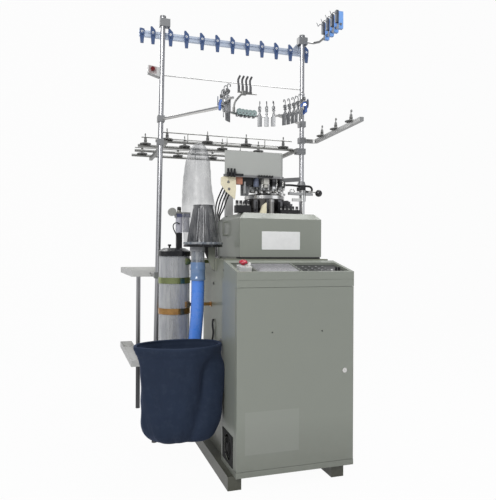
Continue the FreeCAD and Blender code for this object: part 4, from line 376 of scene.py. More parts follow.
def ribbed_dark(name):
    """Half-clear dark plastic: lighter to the top, where the light comes in, with painted highlight streaks down its
    sides.
    """
    cone = Recipe(name)
    height = (cone.axes()[2] - level_of(FLANGE_TOP)) / (CONE_HEIGHT / 1000)
    streaks = cone.noise(46, 3, 0.6, (1, 1, 0.12))
    # painted light: lighter towards the top and along the highlight streaks
    shade = cone.mixed((height * 0.35 + streaks * 0.3).clipped(), tone(20, 20, 27), tone(66, 66, 74))
    return cone.done(Base_Color=shade, Roughness=0.16 + streaks * 0.1, Alpha=0.93, Coat_Weight=0.6,
                     Normal=cone.bump(streaks, 0.2, 0.002))


cone_plastic = ribbed_dark("smoked_cone")
print("clear plastics made")

# %% [markdown]
# Woven nylon, as on the collection bag, is dark but not black: each thread catches a little light, so the
# cloth has a sheen at grazing angles. The weave must follow the cloth, so it is read from the piece's own
# UV map, laid out in metres: one sine along each direction, with the two taking turns on top.

# %% Cloth
def woven(name, colour, threads=520.0):
    """Weave height = |sin(pi * threads * u)| where the warp is on top and |sin(pi * threads * v)| elsewhere."""
    cloth = Recipe(name)
    uv = cloth.node("UVMap", {"uv_map": "weave"})
    turns = [part * (math.pi * threads) for part in cloth.parts("SeparateXYZ", range(2), Vector=uv)]
    warp, weft = (turn.joined("SINE", turn, 0.0) for turn in turns)
    height = warp.magnitude() * 0.5 + weft.magnitude() * 0.5 + (warp * weft) * 0.3
    worn = cloth.noise(7, 4, 0.6)
    shade = cloth.mixed(worn * 0.6, colour, darker(colour, 1.5))
    shade = cloth.mixed(((cloth.noise(34, 5, 0.7) - 0.5) * 2.4).clipped() * 0.3, shade, tone(72, 84, 100))
    return cloth.done(Base_Color=shade, Roughness=0.78 + worn * 0.12, Sheen_Weight=0.35, Sheen_Roughness=0.4,
                      Sheen_Tint=tone(120, 134, 176), Specular_IOR_Level=0.3,
                      Normal=cloth.bump(height, 0.35, 0.0005))


bag_cloth = woven("navy_nylon", tone(34, 45, 64))
print("cloth made")

# %% [markdown]
# Some CAD nodes hold several stuffs in one mesh, such as black valves with steel plates on them. The mesh
# stays as it is, and the material tells the stuffs apart by where they are: a soft-edged box round each.

# %% Several finishes in one mesh
def zoned(name, first, zones, grain=0.06):
    """A finish is (colour, metallic, roughness); a zone (low corner, high corner, finish) covers those before it."""
    both = Recipe(name)
    shade, metallic, rough = first
    for low, high, (colour, metal, dull) in zones:
        share = both.inside(low, high, 0.001)
        shade = both.mixed(share, shade, colour)
        metallic = share * (metal - metallic) + metallic
        rough = share * (dull - rough) + rough
    fleck = both.noise(260, 3, 0.6)
    shade = both.mixed(fleck * 0.12, shade, tone(60, 60, 60))
    return both.done(Base_Color=shade, Metallic=metallic, Roughness=rough + fleck * 0.1,
                     Normal=both.bump(fleck, grain, 0.0003))


def gloss(red, green, blue, rough=0.35, metallic=0.0):
    """One finish of a zoned mesh."""
    return (tone(red, green, blue), metallic, rough)


print("zoned finishes ready")

# %% [markdown]
# Every CAD node now gets its material. The zones are boxes in the machine's millimetres.

# %% Finishes onto the CAD nodes
STEEL = gloss(228, 228, 226, 0.24, 1.0)
DARK_STEEL = gloss(110, 110, 112, 0.35, 1.0)
GREY_PLATE = gloss(150, 150, 148, 0.3, 0.8)
BLACK = gloss(28, 28, 30, 0.4)
POST_PAINT = gloss(226, 226, 224, 0.42)
CREAM = gloss(250, 241, 210, 0.42)
finishes = {
    green_grey: "control_cabinet head_housing",
    console_coat_pit_shade: "console_tray",
    stand_coat_painted_shade: "pedestal_frame",
    rail_coat_painted_shade: "base_rails",
    door_coat: "cabinet_door",
    light_coat: "can_cover",
    tray_coat: "creel_trays",
    bright_metal: "door_lock sinker_ring needles tensioner_ring",
    turned_metal: "cylinder_drive needle_cylinder dial yarn_fingers motor_pulley",
    plate_metal: "head_plate swing_arm side_arms",
    bar_steel: "top_bar",
    tube_metal: "creel_posts",
    cast_metal: "cam_box main_motor",
    soft_alloy: "post_clamps cone_holders tensioners",
    zinc: "controller_box bag_hoop filter_mesh cone_rack",
    strap_metal: "canister_straps",
    black_matte: "speed_knob mode_knob regulator_knob",
    fan_black: "fan_grille fan_rotor",
    black_gloss: "canister_lid",
    belt_rubber: "drive_belt",
    guide_mould: "yarn_guides",
    panel_skin: "console_panel",
    dark_panel: "keypad_panel",
    clear_wall: "canister",
    clear_grey: "clear_tube",
    zoned("lamp_housing", gloss(206, 206, 204),
          [((-300, 750, 2125), (-255, 767.9, 2175), gloss(110, 20, 26, 0.15))]): "indicator_lamp",
    zoned("stop_box_plastic", gloss(226, 228, 226),
          [((70, 70, 1000), (110, 140, 1060), gloss(236, 236, 232, 0.3))]): "stop_box",
    zoned("sensor_plastic", gloss(134, 182, 250, 0.25),
          [((690, 440, 2400), (752.5, 700, 2530), gloss(96, 100, 108, 0.3, 0.3))]): "stop_sensors",
    zoned("cream_and_brown", CREAM,
          [((102, 371, 1440), (160, 410, 1500), gloss(196, 136, 112, 0.4))]): "cream_brackets",
    zoned("head_column_finishes", STEEL,
          [((115, 598, 1300), (163, 646, 1500), POST_PAINT),
           ((276, 314, 1300), (304, 342, 1385), gloss(150, 149, 146, 0.4, 0.7)),
           ((483, 391, 1443.4), (516, 447, 1466), BLACK),
           ((437, 393, 1382), (489, 407, 1400), POST_PAINT)]): "head_columns",
    zoned("valve_finishes", BLACK,
          [((209, 378, 1440), (241, 411, 1500), gloss(104, 112, 134)),
           ((262, 371, 1449), (292, 401, 1500), gloss(214, 212, 204)),
           ((80, 295, 1344), (170, 345, 1352), GREY_PLATE),
           ((325, 295, 1328), (446, 345, 1334), GREY_PLATE)]): "valve_banks",
    zoned("selector_finishes", DARK_STEEL,
          [((150, 330, 1425), (480, 660, 1456), STEEL),
           ((150, 330, 1462), (480, 660, 1484), BLACK)]): "selector_units",
    zoned("flange_finishes", gloss(150, 153, 140, 0.45),
          [((-160, 360, 1127), (60, 580, 1140), gloss(18, 18, 22, 0.2)),
           ((-125, 410, 1080), (-42, 530, 1127), gloss(176, 178, 182, 0.2)),
           ((-42, 410, 1060), (-20, 530, 1127), gloss(30, 30, 32, 0.3))]): "outlet_flange",
    zoned("regulator_finishes", BLACK,
          [((-180, 590, 1206), (-80, 640, 1292), gloss(196, 196, 206, 0.15)),
           ((-180, 590, 1292), (-80, 640, 1312), gloss(86, 90, 120, 0.3)),
           ((-180, 590, 1312), (-80, 640, 1334), gloss(190, 188, 180, 0.3, 1.0)),
           ((-216, 560, 1290), (-168, 612, 1345), gloss(178, 178, 172, 0.3, 0.3))]): "regulator",
}
for finish, names in finishes.items():
    for name in names.split():
        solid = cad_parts[name]
        solid.data.materials.clear()
        solid.data.materials.append(finish)
print("finished nodes:", sum(len(names.split()) for names in finishes.values()))

# %% [markdown]
# ## Surfaces from formulas
# A new piece starts as a grid of points: a formula gives a place for every pair of parameters, all at once,
# and neighbours on the grid become the corners of a face. Shapes can then be added together and copied.

# %% Grids of points
class Shape:
    """Points in the machine's millimetres and the four corners of every face."""

    def __init__(self, points, faces):
        self.points = np.asarray(points, float)
        self.faces = np.asarray(faces, int)

    @classmethod
    def grid(cls, points, wrap_rows=False, wrap_columns=True):
        """Face (i, j) joins (i, j), (i, j + 1), (i + 1, j + 1) and (i + 1, j); a wrapped side closes on itself."""
        rows, columns = points.shape[:2]
        i, j = np.meshgrid(np.arange(rows - (not wrap_rows)), np.arange(columns - (not wrap_columns)),
                           indexing="ij")
        down, across = (i + 1) % rows, (j + 1) % columns
        corners = (i * columns + j, i * columns + across, down * columns + across, down * columns + j)
        return cls(points.reshape(-1, 3), np.stack(corners, -1).reshape(-1, 4))

    def __add__(self, other):
        return Shape(np.concatenate((self.points, other.points)),
                     np.concatenate((self.faces, other.faces + len(self.points))))

    def moved(self, by, turn=None):
        """Every point turned by a 3 x 3 matrix and then shifted."""
        points = self.points if turn is None else self.points @ np.asarray(turn).T
        return Shape(points + np.asarray(by, float), self.faces)

    def copies(self, places, turns=None):
        """One copy for each place, as whole arrays; turns holds a matrix for each."""
        places = np.asarray(places, float).reshape(-1, 3)
        turns = np.tile(np.eye(3), (len(places), 1, 1)) if turns is None else np.asarray(turns)
        points = np.einsum("nij,pj->npi", turns, self.points) + places[:, None]
        steps = np.arange(len(places))[:, None, None] * len(self.points)
        return Shape(points.reshape(-1, 3), (self.faces[None] + steps).reshape(-1, 4))

    def mesh(self, name, material):
        """The points and faces as a mesh in the frame's metres."""
        mesh = bpy.data.meshes.new(name)
        mesh.from_pydata(place(self.points).tolist(), [], self.faces.tolist())
        mesh.materials.append(material)
        return mesh

    def piece(self, name, material, body="stand", finish="", smooth=38.0, weave=None):
        """The mesh object: doubles at poles and seams merged, faces outwards, edges sharper than smooth kept."""
        mesh = self.mesh(name, material)
        if weave is not None:
            layer = mesh.uv_layers.new(name="weave")
            layer.uv.foreach_set("vector", np.ascontiguousarray(weave[self.faces.ravel()], np.float32).ravel())
        work = bmesh.new()
        work.from_mesh(mesh)
        bmesh.ops.remove_doubles(work, verts=work.verts, dist=2e-6)
        bmesh.ops.recalc_face_normals(work, faces=work.faces)
        work.to_mesh(mesh)
        work.free()
        mesh.polygons.foreach_set("use_smooth", np.ones(len(mesh.polygons), bool))
        mesh.set_sharp_from_angle(angle=math.radians(smooth))
        made = linked(name, mesh)
        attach(made, body)
        return made


def full_turn(count):
    """Angles evenly round a circle."""
    return np.linspace(0, 2 * np.pi, count, endpoint=False)


def polar(radius, angle, height, centre, lean=0.0):
    """Points at a radius and an angle round an upright axis, or one that leans to the right."""
    points = np.broadcast_arrays(lean + radius * np.cos(angle), radius * np.sin(angle), height)
    return np.stack(points, -1) + np.asarray(centre, float)


def turned(profile, centre=(0, 0, 0), sides=48):
    """A lathe: point (i, j) = radius i at angle j round the upright axis, at height i."""
    profile = np.asarray(profile, float)
    return Shape.grid(polar(profile[:, :1], full_turn(sides), profile[:, 1:], centre))


def smooth_line(points, count):
    """A Catmull-Rom curve: cubics from point to point, each slope half the step between a point's neighbours."""
    points = np.asarray(points, float)
    padded = np.vstack((2 * points[0] - points[1], points, 2 * points[-1] - points[-2]))
    t = np.linspace(0, len(points) - 1, count)
    i = np.minimum(t.astype(int), len(points) - 2)
    f = (t - i)[:, None]
    a, b, c, d = (padded[i + k] for k in range(4))
    return 0.5 * (2 * b + (c - a) * f + (2 * a - 5 * b + 4 * c - d) * f ** 2 + (3 * b - a - 3 * c + d) * f ** 3)


def read_off(table, t, rows):
    """The three columns of a table of heights, as columns of values at t, which runs from 0 to 1."""
    line = smooth_line(table, rows * 4)
    return (np.interp(t, np.linspace(0, 1, len(line)), line[:, k])[:, None] for k in range(3))


def swept(line, radius, sides=8, closed=False):
    """A tube: at each point of the line a circle square to it, kept from twisting by one fixed side direction."""
    line = np.asarray(line, float)
    ahead = np.gradient(line, axis=0)
    if closed:
        ahead = np.roll(line, -1, 0) - np.roll(line, 1, 0)
    ahead /= np.linalg.norm(ahead, axis=1, keepdims=True)
    side = np.cross(ahead, np.eye(3)[np.abs(ahead).mean(0).argmin()])
    side /= np.linalg.norm(side, axis=1, keepdims=True)
    other = np.cross(ahead, side)
    angle = full_turn(sides)[None, :, None]
    rings = line[:, None] + radius * (np.cos(angle) * side[:, None] + np.sin(angle) * other[:, None])
    if not closed:
        ends = line[[0, -1]][:, None].repeat(sides, 1)
        rings = np.concatenate((ends[:1], rings, ends[1:]))
    return Shape.grid(rings, wrap_rows=closed)


def coil(start, end, radius, wire, turns, sides=5, steps=10):
    """A spring: the wire's centre goes round the line from start to end while it advances evenly."""
    start, end = np.asarray(start, float), np.asarray(end, float)
    ahead = (end - start) / np.linalg.norm(end - start)
    side = np.cross(ahead, (0.31, 0.27, 0.91))
    side /= np.linalg.norm(side)
    other = np.cross(ahead, side)
    t = np.linspace(0, 1, int(turns * steps) + 1)[:, None]
    angle = 2 * np.pi * turns * t
    return swept(start + (end - start) * t + radius * (np.cos(angle) * side + np.sin(angle) * other), wire, sides)


def outline(width, height, corner, steps=5):
    """A rectangle with rounded corners, counter-clockwise: each corner is a quarter circle round its own centre."""
    quarter = np.linspace(0, np.pi / 2, steps)
    centres = np.array([(1, 1), (-1, 1), (-1, -1), (1, -1)]) * (width / 2 - corner, height / 2 - corner)
    arcs = [centre + corner * np.stack((np.cos(quarter + k * np.pi / 2), np.sin(quarter + k * np.pi / 2)), -1)
            for k, centre in enumerate(centres)]
    return np.concatenate(arcs)


def raised(edge, levels):
    """A slab on an outline: ring k is the outline drawn in by inset k towards its middle, at height k."""
    edge = np.asarray(edge, float)
    size = np.abs(edge).max(0)
    rings = [np.column_stack((edge * (1 - inset / size), np.full(len(edge), height))) for height, inset in levels]
    flat = np.zeros_like(rings[0])
    first, last = flat + (0, 0, levels[0][0]), flat + (0, 0, levels[-1][0])
    return Shape.grid(np.stack([first] + rings + [last]))


def facing(direction, upwards=(0, 0, 1)):
    """A 3 x 3 matrix that turns a slab's z to a direction, and its y as nearly upwards as that allows."""
    z = np.asarray(direction, float) / np.linalg.norm(direction)
    x = np.cross(upwards, z)
    x /= np.linalg.norm(x)
    return np.stack((x, np.cross(z, x), z), 1)


def bar(width, depth, height, middle, soft=0.8, share=0.28):
    """An upright bar with softened ends, its corners rounded by a share of its lesser side."""
    levels = [(-height / 2, soft), (-height / 2 + soft, 0), (height / 2 - soft, 0), (height / 2, soft)]
    return raised(outline(width, depth, min(width, depth) * share, 4), levels).moved(middle)


def slab(low, high):
    """A bar between two corners."""
    low, high = np.asarray(low, float), np.asarray(high, float)
    return bar(*(high - low), (low + high) / 2, share=0.25)


def around(centre, radius, degrees):
    """Places round an upright axis, each with the turn whose y looks outwards; 0 degrees is the rearmost."""
    angle = np.radians(np.atleast_1d(degrees).astype(float))
    out = np.stack((np.sin(angle), np.cos(angle), 0 * angle), -1)
    side = np.stack((np.cos(angle), -np.sin(angle), 0 * angle), -1)
    return centre + radius * out, np.stack((side, out, np.tile((0.0, 0.0, 1.0), (len(angle), 1))), -1)


FRONT = facing((0, -1, 0))
print("shape tools ready")

# %% [markdown]
# ## The collection bag
# The bag is a sewn sack of thin nylon that hangs from a steel hoop: wide and stiff at the rim, creased where
# the cloth is longer than its way down, and rounded at the bottom. A simulation would crease it anywhere;
# the real one has one deep fold to the front right, so the folds are written as a formula instead. The
# outside runs up over the hoop and down again inside, so the cloth is one closed skin.

# %% Bag
BAG_MIDDLE = np.array([-219.0, 255.0])
BAG_HALF = np.array([206.0, 141.0])
BAG_RIM, HOOP_UNDER, BAG_DEPTH = 651, 606, 465      # two heights, and how far the bag hangs below its rim
BAG_MEAN = 170                                      # the half width that dents and folds are a share of
# height above the floor, size as a share of the hoop, sideways shift
BAG_WALL = np.array([(186, 0.02, 14), (187, 0.30, 14), (189, 0.50, 14), (196, 0.64, 14), (214, 0.775, 14),
                     (244, 0.875, 13), (291, 0.935, 16), (360, 0.955, 16), (440, 0.965, 14), (530, 0.965, 9),
                     (590, 0.975, 4), (625, 1.01, 1), (642, 1.035, 0), (BAG_RIM, 1.03, 0)])
# how often a dent comes round the bag, its depth, where it starts, how far it slants on the way down
DENTS = ((3, 5.0, 0.4, 2.6), (5, 4.4, 2.0, -4.0), (8, 2.6, 1.1, 5.0), (13, 1.4, 0.2, -8.0), (21, 0.6, 2.2, 11.0),
         (34, 0.3, 1.4, -15.0))


def bag_skin(columns=260, rows=150):
    """Radius(angle, height) = oval * profile - a deep fold - slanting creases + soft dents, all fading at the rim."""
    height, size, shift = read_off(BAG_WALL, np.linspace(0, 1, rows) ** 0.8, rows)
    angle = np.linspace(0, 2 * np.pi, columns)[None, :]
    belly = np.clip(size / 0.5, 0, 1)
    free = np.clip((BAG_RIM - height) / 90, 0, 1) * belly
    below = np.clip((HOOP_UNDER - height) / 100, 0, 1) * belly
    low = np.clip((BAG_RIM - height) / BAG_DEPTH, 0, 1)

    def away(target):
        """The angle from a direction in degrees, from -pi to pi."""
        return (angle - np.radians(target) + np.pi) % (2 * np.pi) - np.pi

    def ridge(target, width):
        """1 at a direction, dying out to both sides."""
        return np.exp(-(away(target) / width) ** 2)

    valley = away(-42 - 36 * low)
    fold = 36 * np.exp(-(valley / np.where(valley > 0, 0.11 + 0.06 * low, 0.22 + 0.24 * low)) ** 2) * below
    fold -= 15 * ridge(-18 - 26 * low, 0.22) * below
    fold -= 6 * ridge(-84 - 20 * low, 0.26) * free
    fold += 15 * ridge(-158 + 50 * low, 0.15) * free * np.clip(1.4 * low - 0.3, 0, 1)
    fold += 6 * ridge(-118 - 20 * low, 0.11) * free * np.clip(1.2 - 1.6 * low, 0, 1)
    dents = sum(depth * np.cos(count * angle + start + slant * low) for count, depth, start, slant in DENTS)
    level = 1.2 * np.cos(9 * low * np.pi + 3 * angle) * free
    hem = 1.6 * np.clip((height - 608) / 4, 0, 1) - 1.2 * np.exp(-((height - 612) / 2.5) ** 2)
    gusset = 9 * ridge(-163, 0.2) * np.clip((height - 560) / 90, 0, 1)
    reach = 1 + (dents * free - fold + level + hem + gusset) / BAG_MEAN
    x = BAG_MIDDLE[0] + shift + BAG_HALF[0] * size * reach * np.cos(angle)
    y = BAG_MIDDLE[1] + BAG_HALF[1] * size * reach * np.sin(angle)
    z = height - 2.5 * np.sin(angle - 0.4) ** 2 * (1 - free) + 5 * low * np.cos(2 * angle + 0.8) * (1 - low)
    outside = np.stack((x, y, np.broadcast_to(z, x.shape)), -1)
    wall = np.interp(height[:, 0], (560, 625, 645), (2.2, 12.0, 14.5))[:, None]
    middle = np.stack(np.broadcast_arrays(BAG_MIDDLE[0] + shift, BAG_MIDDLE[1]), -1)
    flat = outside[..., :2] - middle
    length = np.linalg.norm(flat, axis=-1, keepdims=True)
    inner = middle + flat * np.clip(1 - wall[..., None] / np.maximum(length, 1), 0, 1)
    inside = np.concatenate((inner, outside[..., 2:] + np.clip((300 - height) / 100, 0, 1)[..., None] * 2.2), -1)
    roll = np.linspace(0.12, 0.88, 6)[:, None, None]
    top = outside[-1] * (1 - roll) + inside[-1] * roll
    top[..., 2] += 4 * np.sin(np.pi * roll[..., 0])
    skin = np.concatenate((outside, top, inside[::-1]))
    step = np.linalg.norm(np.diff(skin, axis=0), axis=-1).mean(1)
    v = np.concatenate(([0], np.cumsum(step)))[:, None] / 1000
    u = angle / (2 * np.pi) * 1.12
    return Shape.grid(skin, wrap_columns=False), np.stack(np.broadcast_arrays(u, v), -1).reshape(-1, 2)


skin, weave = bag_skin()
bag = skin.piece("bag_cloth", bag_cloth, finish="cloth", smooth=80, weave=weave)
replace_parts(bag, "collection_bag")
# the cut: a wall strip 1.11 m round at the hoop and 0.44 m high that narrows by a tenth to the bottom, 0.466
# square metres, and an oval bottom of 0.38 by 0.25 m, 0.074 square metres, laid out one above the other
print("bag faces:", len(skin.faces))

# %% [markdown]
# ## The film sleeve
# The sleeve is a tube of thin film tied shut at the top, standing up on the air that blows out of the cone.
# Film has hardly any stretch, so it makes long upright wrinkles, few near the ring that spreads it and many
# near the tied top. Each wrinkle is a cosine round the sleeve whose depth grows upwards.

# %% Sleeve
SLEEVE_FOOT = np.array([-47.0, 470.0, FLANGE_TOP])
SLEEVE_HEIGHT = 543
# height above the flange, sideways lean and radius
SLEEVE = np.array([(0, 0, 103.5), (30, -4, 101), (60, -8, 98), (125, -16, 94), (190, -24, 90), (255, -30, 83),
                   (320, -34, 76), (380, -33, 71), (440, -31, 64), (480, -29, 55), (505, -27, 45), (524, -25, 35),
                   (536, -23, 24), (542, -22, 13), (SLEEVE_HEIGHT, -22, 2)])


def sleeve_skin(columns=220, rows=150):
    """Radius = profile * (1 + wrinkles); wrinkles = cosines whose phase drifts with height."""
    height, lean, radius = read_off(SLEEVE, np.linspace(0, 1, rows), rows)
    angle = full_turn(columns)[None]
    up = height / SLEEVE_HEIGHT
    deep = 0.006 + 0.05 * up ** 2.2 + 0.02 * np.exp(-((height - 40) / 30) ** 2)
    wrinkles = (np.cos(5 * angle + 1.3 + 2.2 * up) + 0.7 * np.cos(9 * angle + 0.4 - 3.1 * up)
                + 0.5 * np.cos(16 * angle + 2.0 + 4.0 * up) + 0.25 * np.cos(29 * angle + 6 * up)) / 2.4
    buckle = 0.012 * np.cos(3 * angle + 14 * up) * np.cos(21 * up * np.pi) * np.clip(up * 3, 0, 1)
    size = radius * np.minimum(1 + deep * wrinkles + buckle, 1.05)
    return Shape.grid(polar(size, angle, height, SLEEVE_FOOT, lean))


sleeve = sleeve_skin().piece("film_sleeve", film, finish="film", smooth=80)
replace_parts(sleeve, "clear_sleeve")
band = turned([(104.2, 0), (105.6, 1), (105.6, 11), (104.2, 12), (103.8, 6), (104.2, 0)], SLEEVE_FOOT + (0, 0, 3), 96)
band.piece("sleeve_band", clear_grey, finish="film")
print("sleeve made")

# %% [markdown]
# Inside the sleeve stands a smoked cone with shallow ribs. A lathe turns its profile; the ribs are one more
# cosine on the radius.

# %% Cone
def cone_skin():
    """A lathe whose radius carries 36 shallow ribs that die out at the rims."""
    profile = np.array([(96, 0), (96.5, 1.5), (96, 3.5), (89, 4.5), (88, 8), (78.8, 60), (69.5, 110), (60.4, 160),
                        (52.4, 204), (51.5, 208), (54, 209), (54.4, 211), (54, CONE_HEIGHT), (49.8, CONE_HEIGHT),
                        (49.4, 206), (58.4, 160), (76.8, 60), (85.5, 6), (86, 0), (96, 0)])
    stretches = [np.linspace(a, b, 5, endpoint=False) for a, b in zip(profile, profile[1:])]
    profile = np.concatenate(stretches + [profile[-1:]])
    angle = full_turn(216)
    body = np.clip(np.minimum(profile[:, 1] - 12, 200 - profile[:, 1]) / 12, 0, 1)[:, None]
    radius = profile[:, :1] + 0.7 * np.cos(36 * angle)[None] * body
    return Shape.grid(polar(radius, angle, profile[:, 1:], SLEEVE_FOOT))


cone = cone_skin().piece("smoked_cone", cone_plastic, finish="cone")
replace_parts(cone, "inner_cone")
print("cone made")

# %% [markdown]
# ## Hose and air lines
# A hose is a fixed length of something bendy. Blender's own curve keeps it round and smooth along a NURBS
# line that the route's points guide. Its length is measured on a copy of that line without any thickness.

# %% Hoses and cables
def routed(name, points, radius, material):
    """A curve object whose line is a NURBS spline over the route's points, with a round section."""
    data = bpy.data.curves.new(name, "CURVE")
    data.dimensions = "3D"
    data.bevel_depth = radius / 1000
    data.bevel_resolution = 6
    data.resolution_u = 16
    data.use_fill_caps = True
    spline = data.splines.new("NURBS")
    spline.points.add(len(points) - 1)
    route = place(points)
    spline.points.foreach_set("co", np.column_stack((route, np.ones(len(route)))).ravel())
    spline.order_u = 3
    spline.use_endpoint_u = True
    data.materials.append(material)
    made = linked(name, data)
    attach(made, "stand")
    line = bpy.data.meshes.new_from_object(bare_line(made))
    co = np.zeros(len(line.vertices) * 3)
    line.vertices.foreach_get("co", co)
    length = np.linalg.norm(np.diff(co.reshape(-1, 3), axis=0), axis=1).sum()
    bpy.data.meshes.remove(line)
    length = round(float(length), 3)
    print(name, "length", length, "m")
    return made


def bare_line(made):
    """The same curve with no thickness, so that a mesh made of it is the centre line alone."""
    thin = made.copy()
    thin.data = made.data.copy()
    thin.data.bevel_depth = 0
    return thin


HOSE_ROUTE = ((-75, 470, 1044), (-72, 471, 860), (-84, 482, 640), (-97, 488, 520), (-97, 488, 430))
hose = routed("suction_hose", HOSE_ROUTE, 35, hose_skin)
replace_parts(hose, "blue_hose")

cuff = turned([(36.2, 950), (40.2, 950), (41.2, 953), (41.2, 962), (39.6, 965), (39.2, 1003), (40.6, 1006),
               (40.6, 1016), (39.6, 1019), (39.6, 1040), (38.6, 1046), (36.4, 1046), (36.2, 950)], (-75, 470, 0), 72)
cuff.piece("hose_cuff", cuff_skin, finish="hose")

AIR_LOOP = ((411.4, 433, 1474), (440, 438, 1477), (490, 446, 1474.5), (541, 451, 1476), (569, 452, 1475),
            (579, 451, 1465), (579, 448, 1451), (569, 445, 1441), (555, 443, 1441.5), (535, 440, 1445),
            (517.3, 438, 1451))
AIR_TUBE = ((-152, 590, 1255), (-166.8, 584, 1262), (-183, 580, 1256), (-190, 579, 1243), (-187, 580, 1228),
            (-180, 583, 1213), (-172, 587, 1200), (-166, 591, 1188))
SIDE_CABLE = ((14, 478, 740), (8, 476, 722), (9, 473, 700), (13, 472, 675), (11, 472, 650), (6, 473, 626),
              (14, 475, 606))
black_lines = [("air_loop", AIR_LOOP, 6), ("air_tube", AIR_TUBE, 3), ("side_cable", SIDE_CABLE, 5)]
for number in range(4):
    x, spread, fan = 46 + 13 * number, 9 * number, 8 * number - 13
    route = ((x, 372, 1448), (x - 2 + fan * 0.4, 396, 1440), ((x + 46 + spread) / 2 + fan * 0.8, 438, 1410),
             (48 + spread + fan, 480, 1388), (56 + spread + fan, 548, 1358), (66 + spread + fan * 0.5, 614, 1332),
             (72 + spread, 660, 1317), (77 + spread, 697, 1300), (80 + spread, 712, 1264), (81 + spread, 711, 1215),
             (82 + spread, 709, 1160), (83 + spread, 710, 1110), (83 + spread, 709, 1067.3))
    black_lines.append((f"head_cable_{number + 1}", route, 4))
for name, route, radius in black_lines:
    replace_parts(routed(name, route, radius, rubber_black), "air_lines")
print("cords:", 1 + len(black_lines))

# %% [markdown]
# ## Small turned and moulded pieces
# The stop button, the lever's ball and the screws are round things with soft edges. Each is a lathe profile:
# a list of radii and heights read off from the side. The lever's rod is a bent tube from an eye to the ball.

# %% Button and lever
SLOPED = np.array([(1, 0, 0), (0, math.cos(TILT), -math.sin(TILT)), (0, math.sin(TILT), math.cos(TILT))])


def on_console(x, up, out=0.0):
    """A place on the console's slope: across, up the slope and out of it."""
    return SLOPED @ np.array([x, up, out], float) + (0, 0, CONSOLE_EDGE)


button = turned([(0, -8), (8, -8), (8, 14.2), (16.5, 14.2), (19.5, 16), (20.8, 19), (20.8, 22), (19.6, 25.5),
                 (16.5, 28.6), (11, 31), (5, 32.1), (0, 32.3)], sides=64)
stop = button.moved(on_console(62, 108), SLOPED).piece("mushroom_button", red_mould, "stop", "red")
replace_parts(stop, "stop_button")

BALL = np.array([588.0, 380.0, 1429.8])
half_turn = np.linspace(-np.pi / 2, np.pi / 2, 24)
ball = turned(19.5 * np.column_stack((np.cos(half_turn), np.sin(half_turn))), BALL, 48)
ball_piece = ball.piece("lever_ball", black_gloss, "lever", "black_gloss")
eye = turned([(4.1, 0), (8.4, 0), (9, 0.6), (9, 8.4), (8.4, 9), (4.1, 9), (4.1, 0)], (540, 397, 1431.3), 40)
bends = [(547.5, 394.3, 1436.3), (561, 389.6, 1436.3), (571, 386, 1435.4), BALL + (-12, 4, 2.4), BALL + (-8, 2.6, 1.2)]
shank = swept(smooth_line(bends, 20), 3.5, 14)
rod = (eye + shank).piece("lever_rod", turned_metal, "lever", "steel")
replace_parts(ball_piece, "lever_handle")
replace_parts(rod, "lever_handle")
print("button and lever made")

# %% [markdown]
# Screws show as dark or bright dots, yet a flat disc reads as paint. A hexagon head is an outline of six
# points drawn in at the top; a socket screw is a small lathe with a hollow.

# %% Screws
def socket_screw(radius, height):
    """A cap with a sunk middle."""
    return turned([(0, 0), (radius * 0.96, 0), (radius, height * 0.2), (radius, height * 0.75),
                   (radius * 0.86, height), (radius * 0.5, height), (radius * 0.46, height * 0.4), (0, height * 0.4)],
                  sides=20)


def hexagon_head(radius, height):
    """Six sides on a round washer, drawn in at the top."""
    corners = np.arange(6) * np.pi / 3
    edge = radius * np.stack((np.cos(corners), np.sin(corners)), -1)
    washer = turned([(0, 0), (radius * 1.35, 0), (radius * 1.35, height * 0.22), (0, height * 0.22)], sides=20)
    return washer + raised(edge, [(height * 0.22, 0), (height * 0.85, 0), (height, radius * 0.12)])


def fixed(shape, places, direction):
    """Copies of a screw at their places, all looking one way."""
    return shape.copies(places, [facing(direction)] * len(places))


front_screws = fixed(socket_screw(3.4, 2.2), [(174, 0, 728), (429, 0, 726)], (0, -1, 0))
front_screws.piece("door_screws", black_matte, "door", "black")
side_bolts = fixed(hexagon_head(7, 6), [(18, 491, 933), (18, 497, 732)], (-1, 0, 0.001))
side_bolts.piece("pedestal_bolts", zinc, finish="zinc")
plate_bolts = fixed(hexagon_head(5.5, 5), [(61, 362, 1468), (65, 362, 1431)], (0, -1, 0))
plate_bolts.piece("plate_bolts", turned_metal, finish="steel")
left, right = (fixed(socket_screw(4.5, 3), [(x, y, z) for y in (290, 690) for z in (110, 560, 1010)], (way, 0, 0.001))
               for x, way in ((18, -1), (582, 1)))
(left + right).piece("pedestal_screws", zinc, finish="zinc")
print("screws made")

# %% [markdown]
# The housing's front carries a white enamel plate. It is left bare. Its edges are softly rounded, so it is a
# rounded outline raised by a millimetre and drawn in at its top. The console's pane is made the same way. A
# thin black strip of painted shade runs round the foot of the housing, standing in for the shaded groove there.

# %% White plate and console panes
plate = raised(outline(212, 94, 3), [(0, 0), (0.9, 0), (1.2, 0.5)])
plate.moved((318, 260, 1162), FRONT).piece("white_plate", white_plate, finish="light_plastic", smooth=20)

pane = raised(outline(206, 150, 4), [(0, 0), (0.8, 0), (1.1, 0.4)])
pane.moved(on_console(218.5, 93, -4.6), SLOPED).piece("panel_sheet", panel_skin, finish="panel", smooth=20)
# painted shade: a thin black strip round the foot of the housing stands in for the shaded groove there
GROOVE_SHADE_HEIGHT = 1072
groove_shade_line = [(96, 320), (96, 264), (98, 261), (102, 259.2), (320, 259.2), (539, 259.2)]
groove_shade = swept([(x, y, GROOVE_SHADE_HEIGHT) for x, y in groove_shade_line], 4.0, 8)
groove_shade.piece("housing_groove_shade", rubber_black, finish="rubber")
print("plates made")

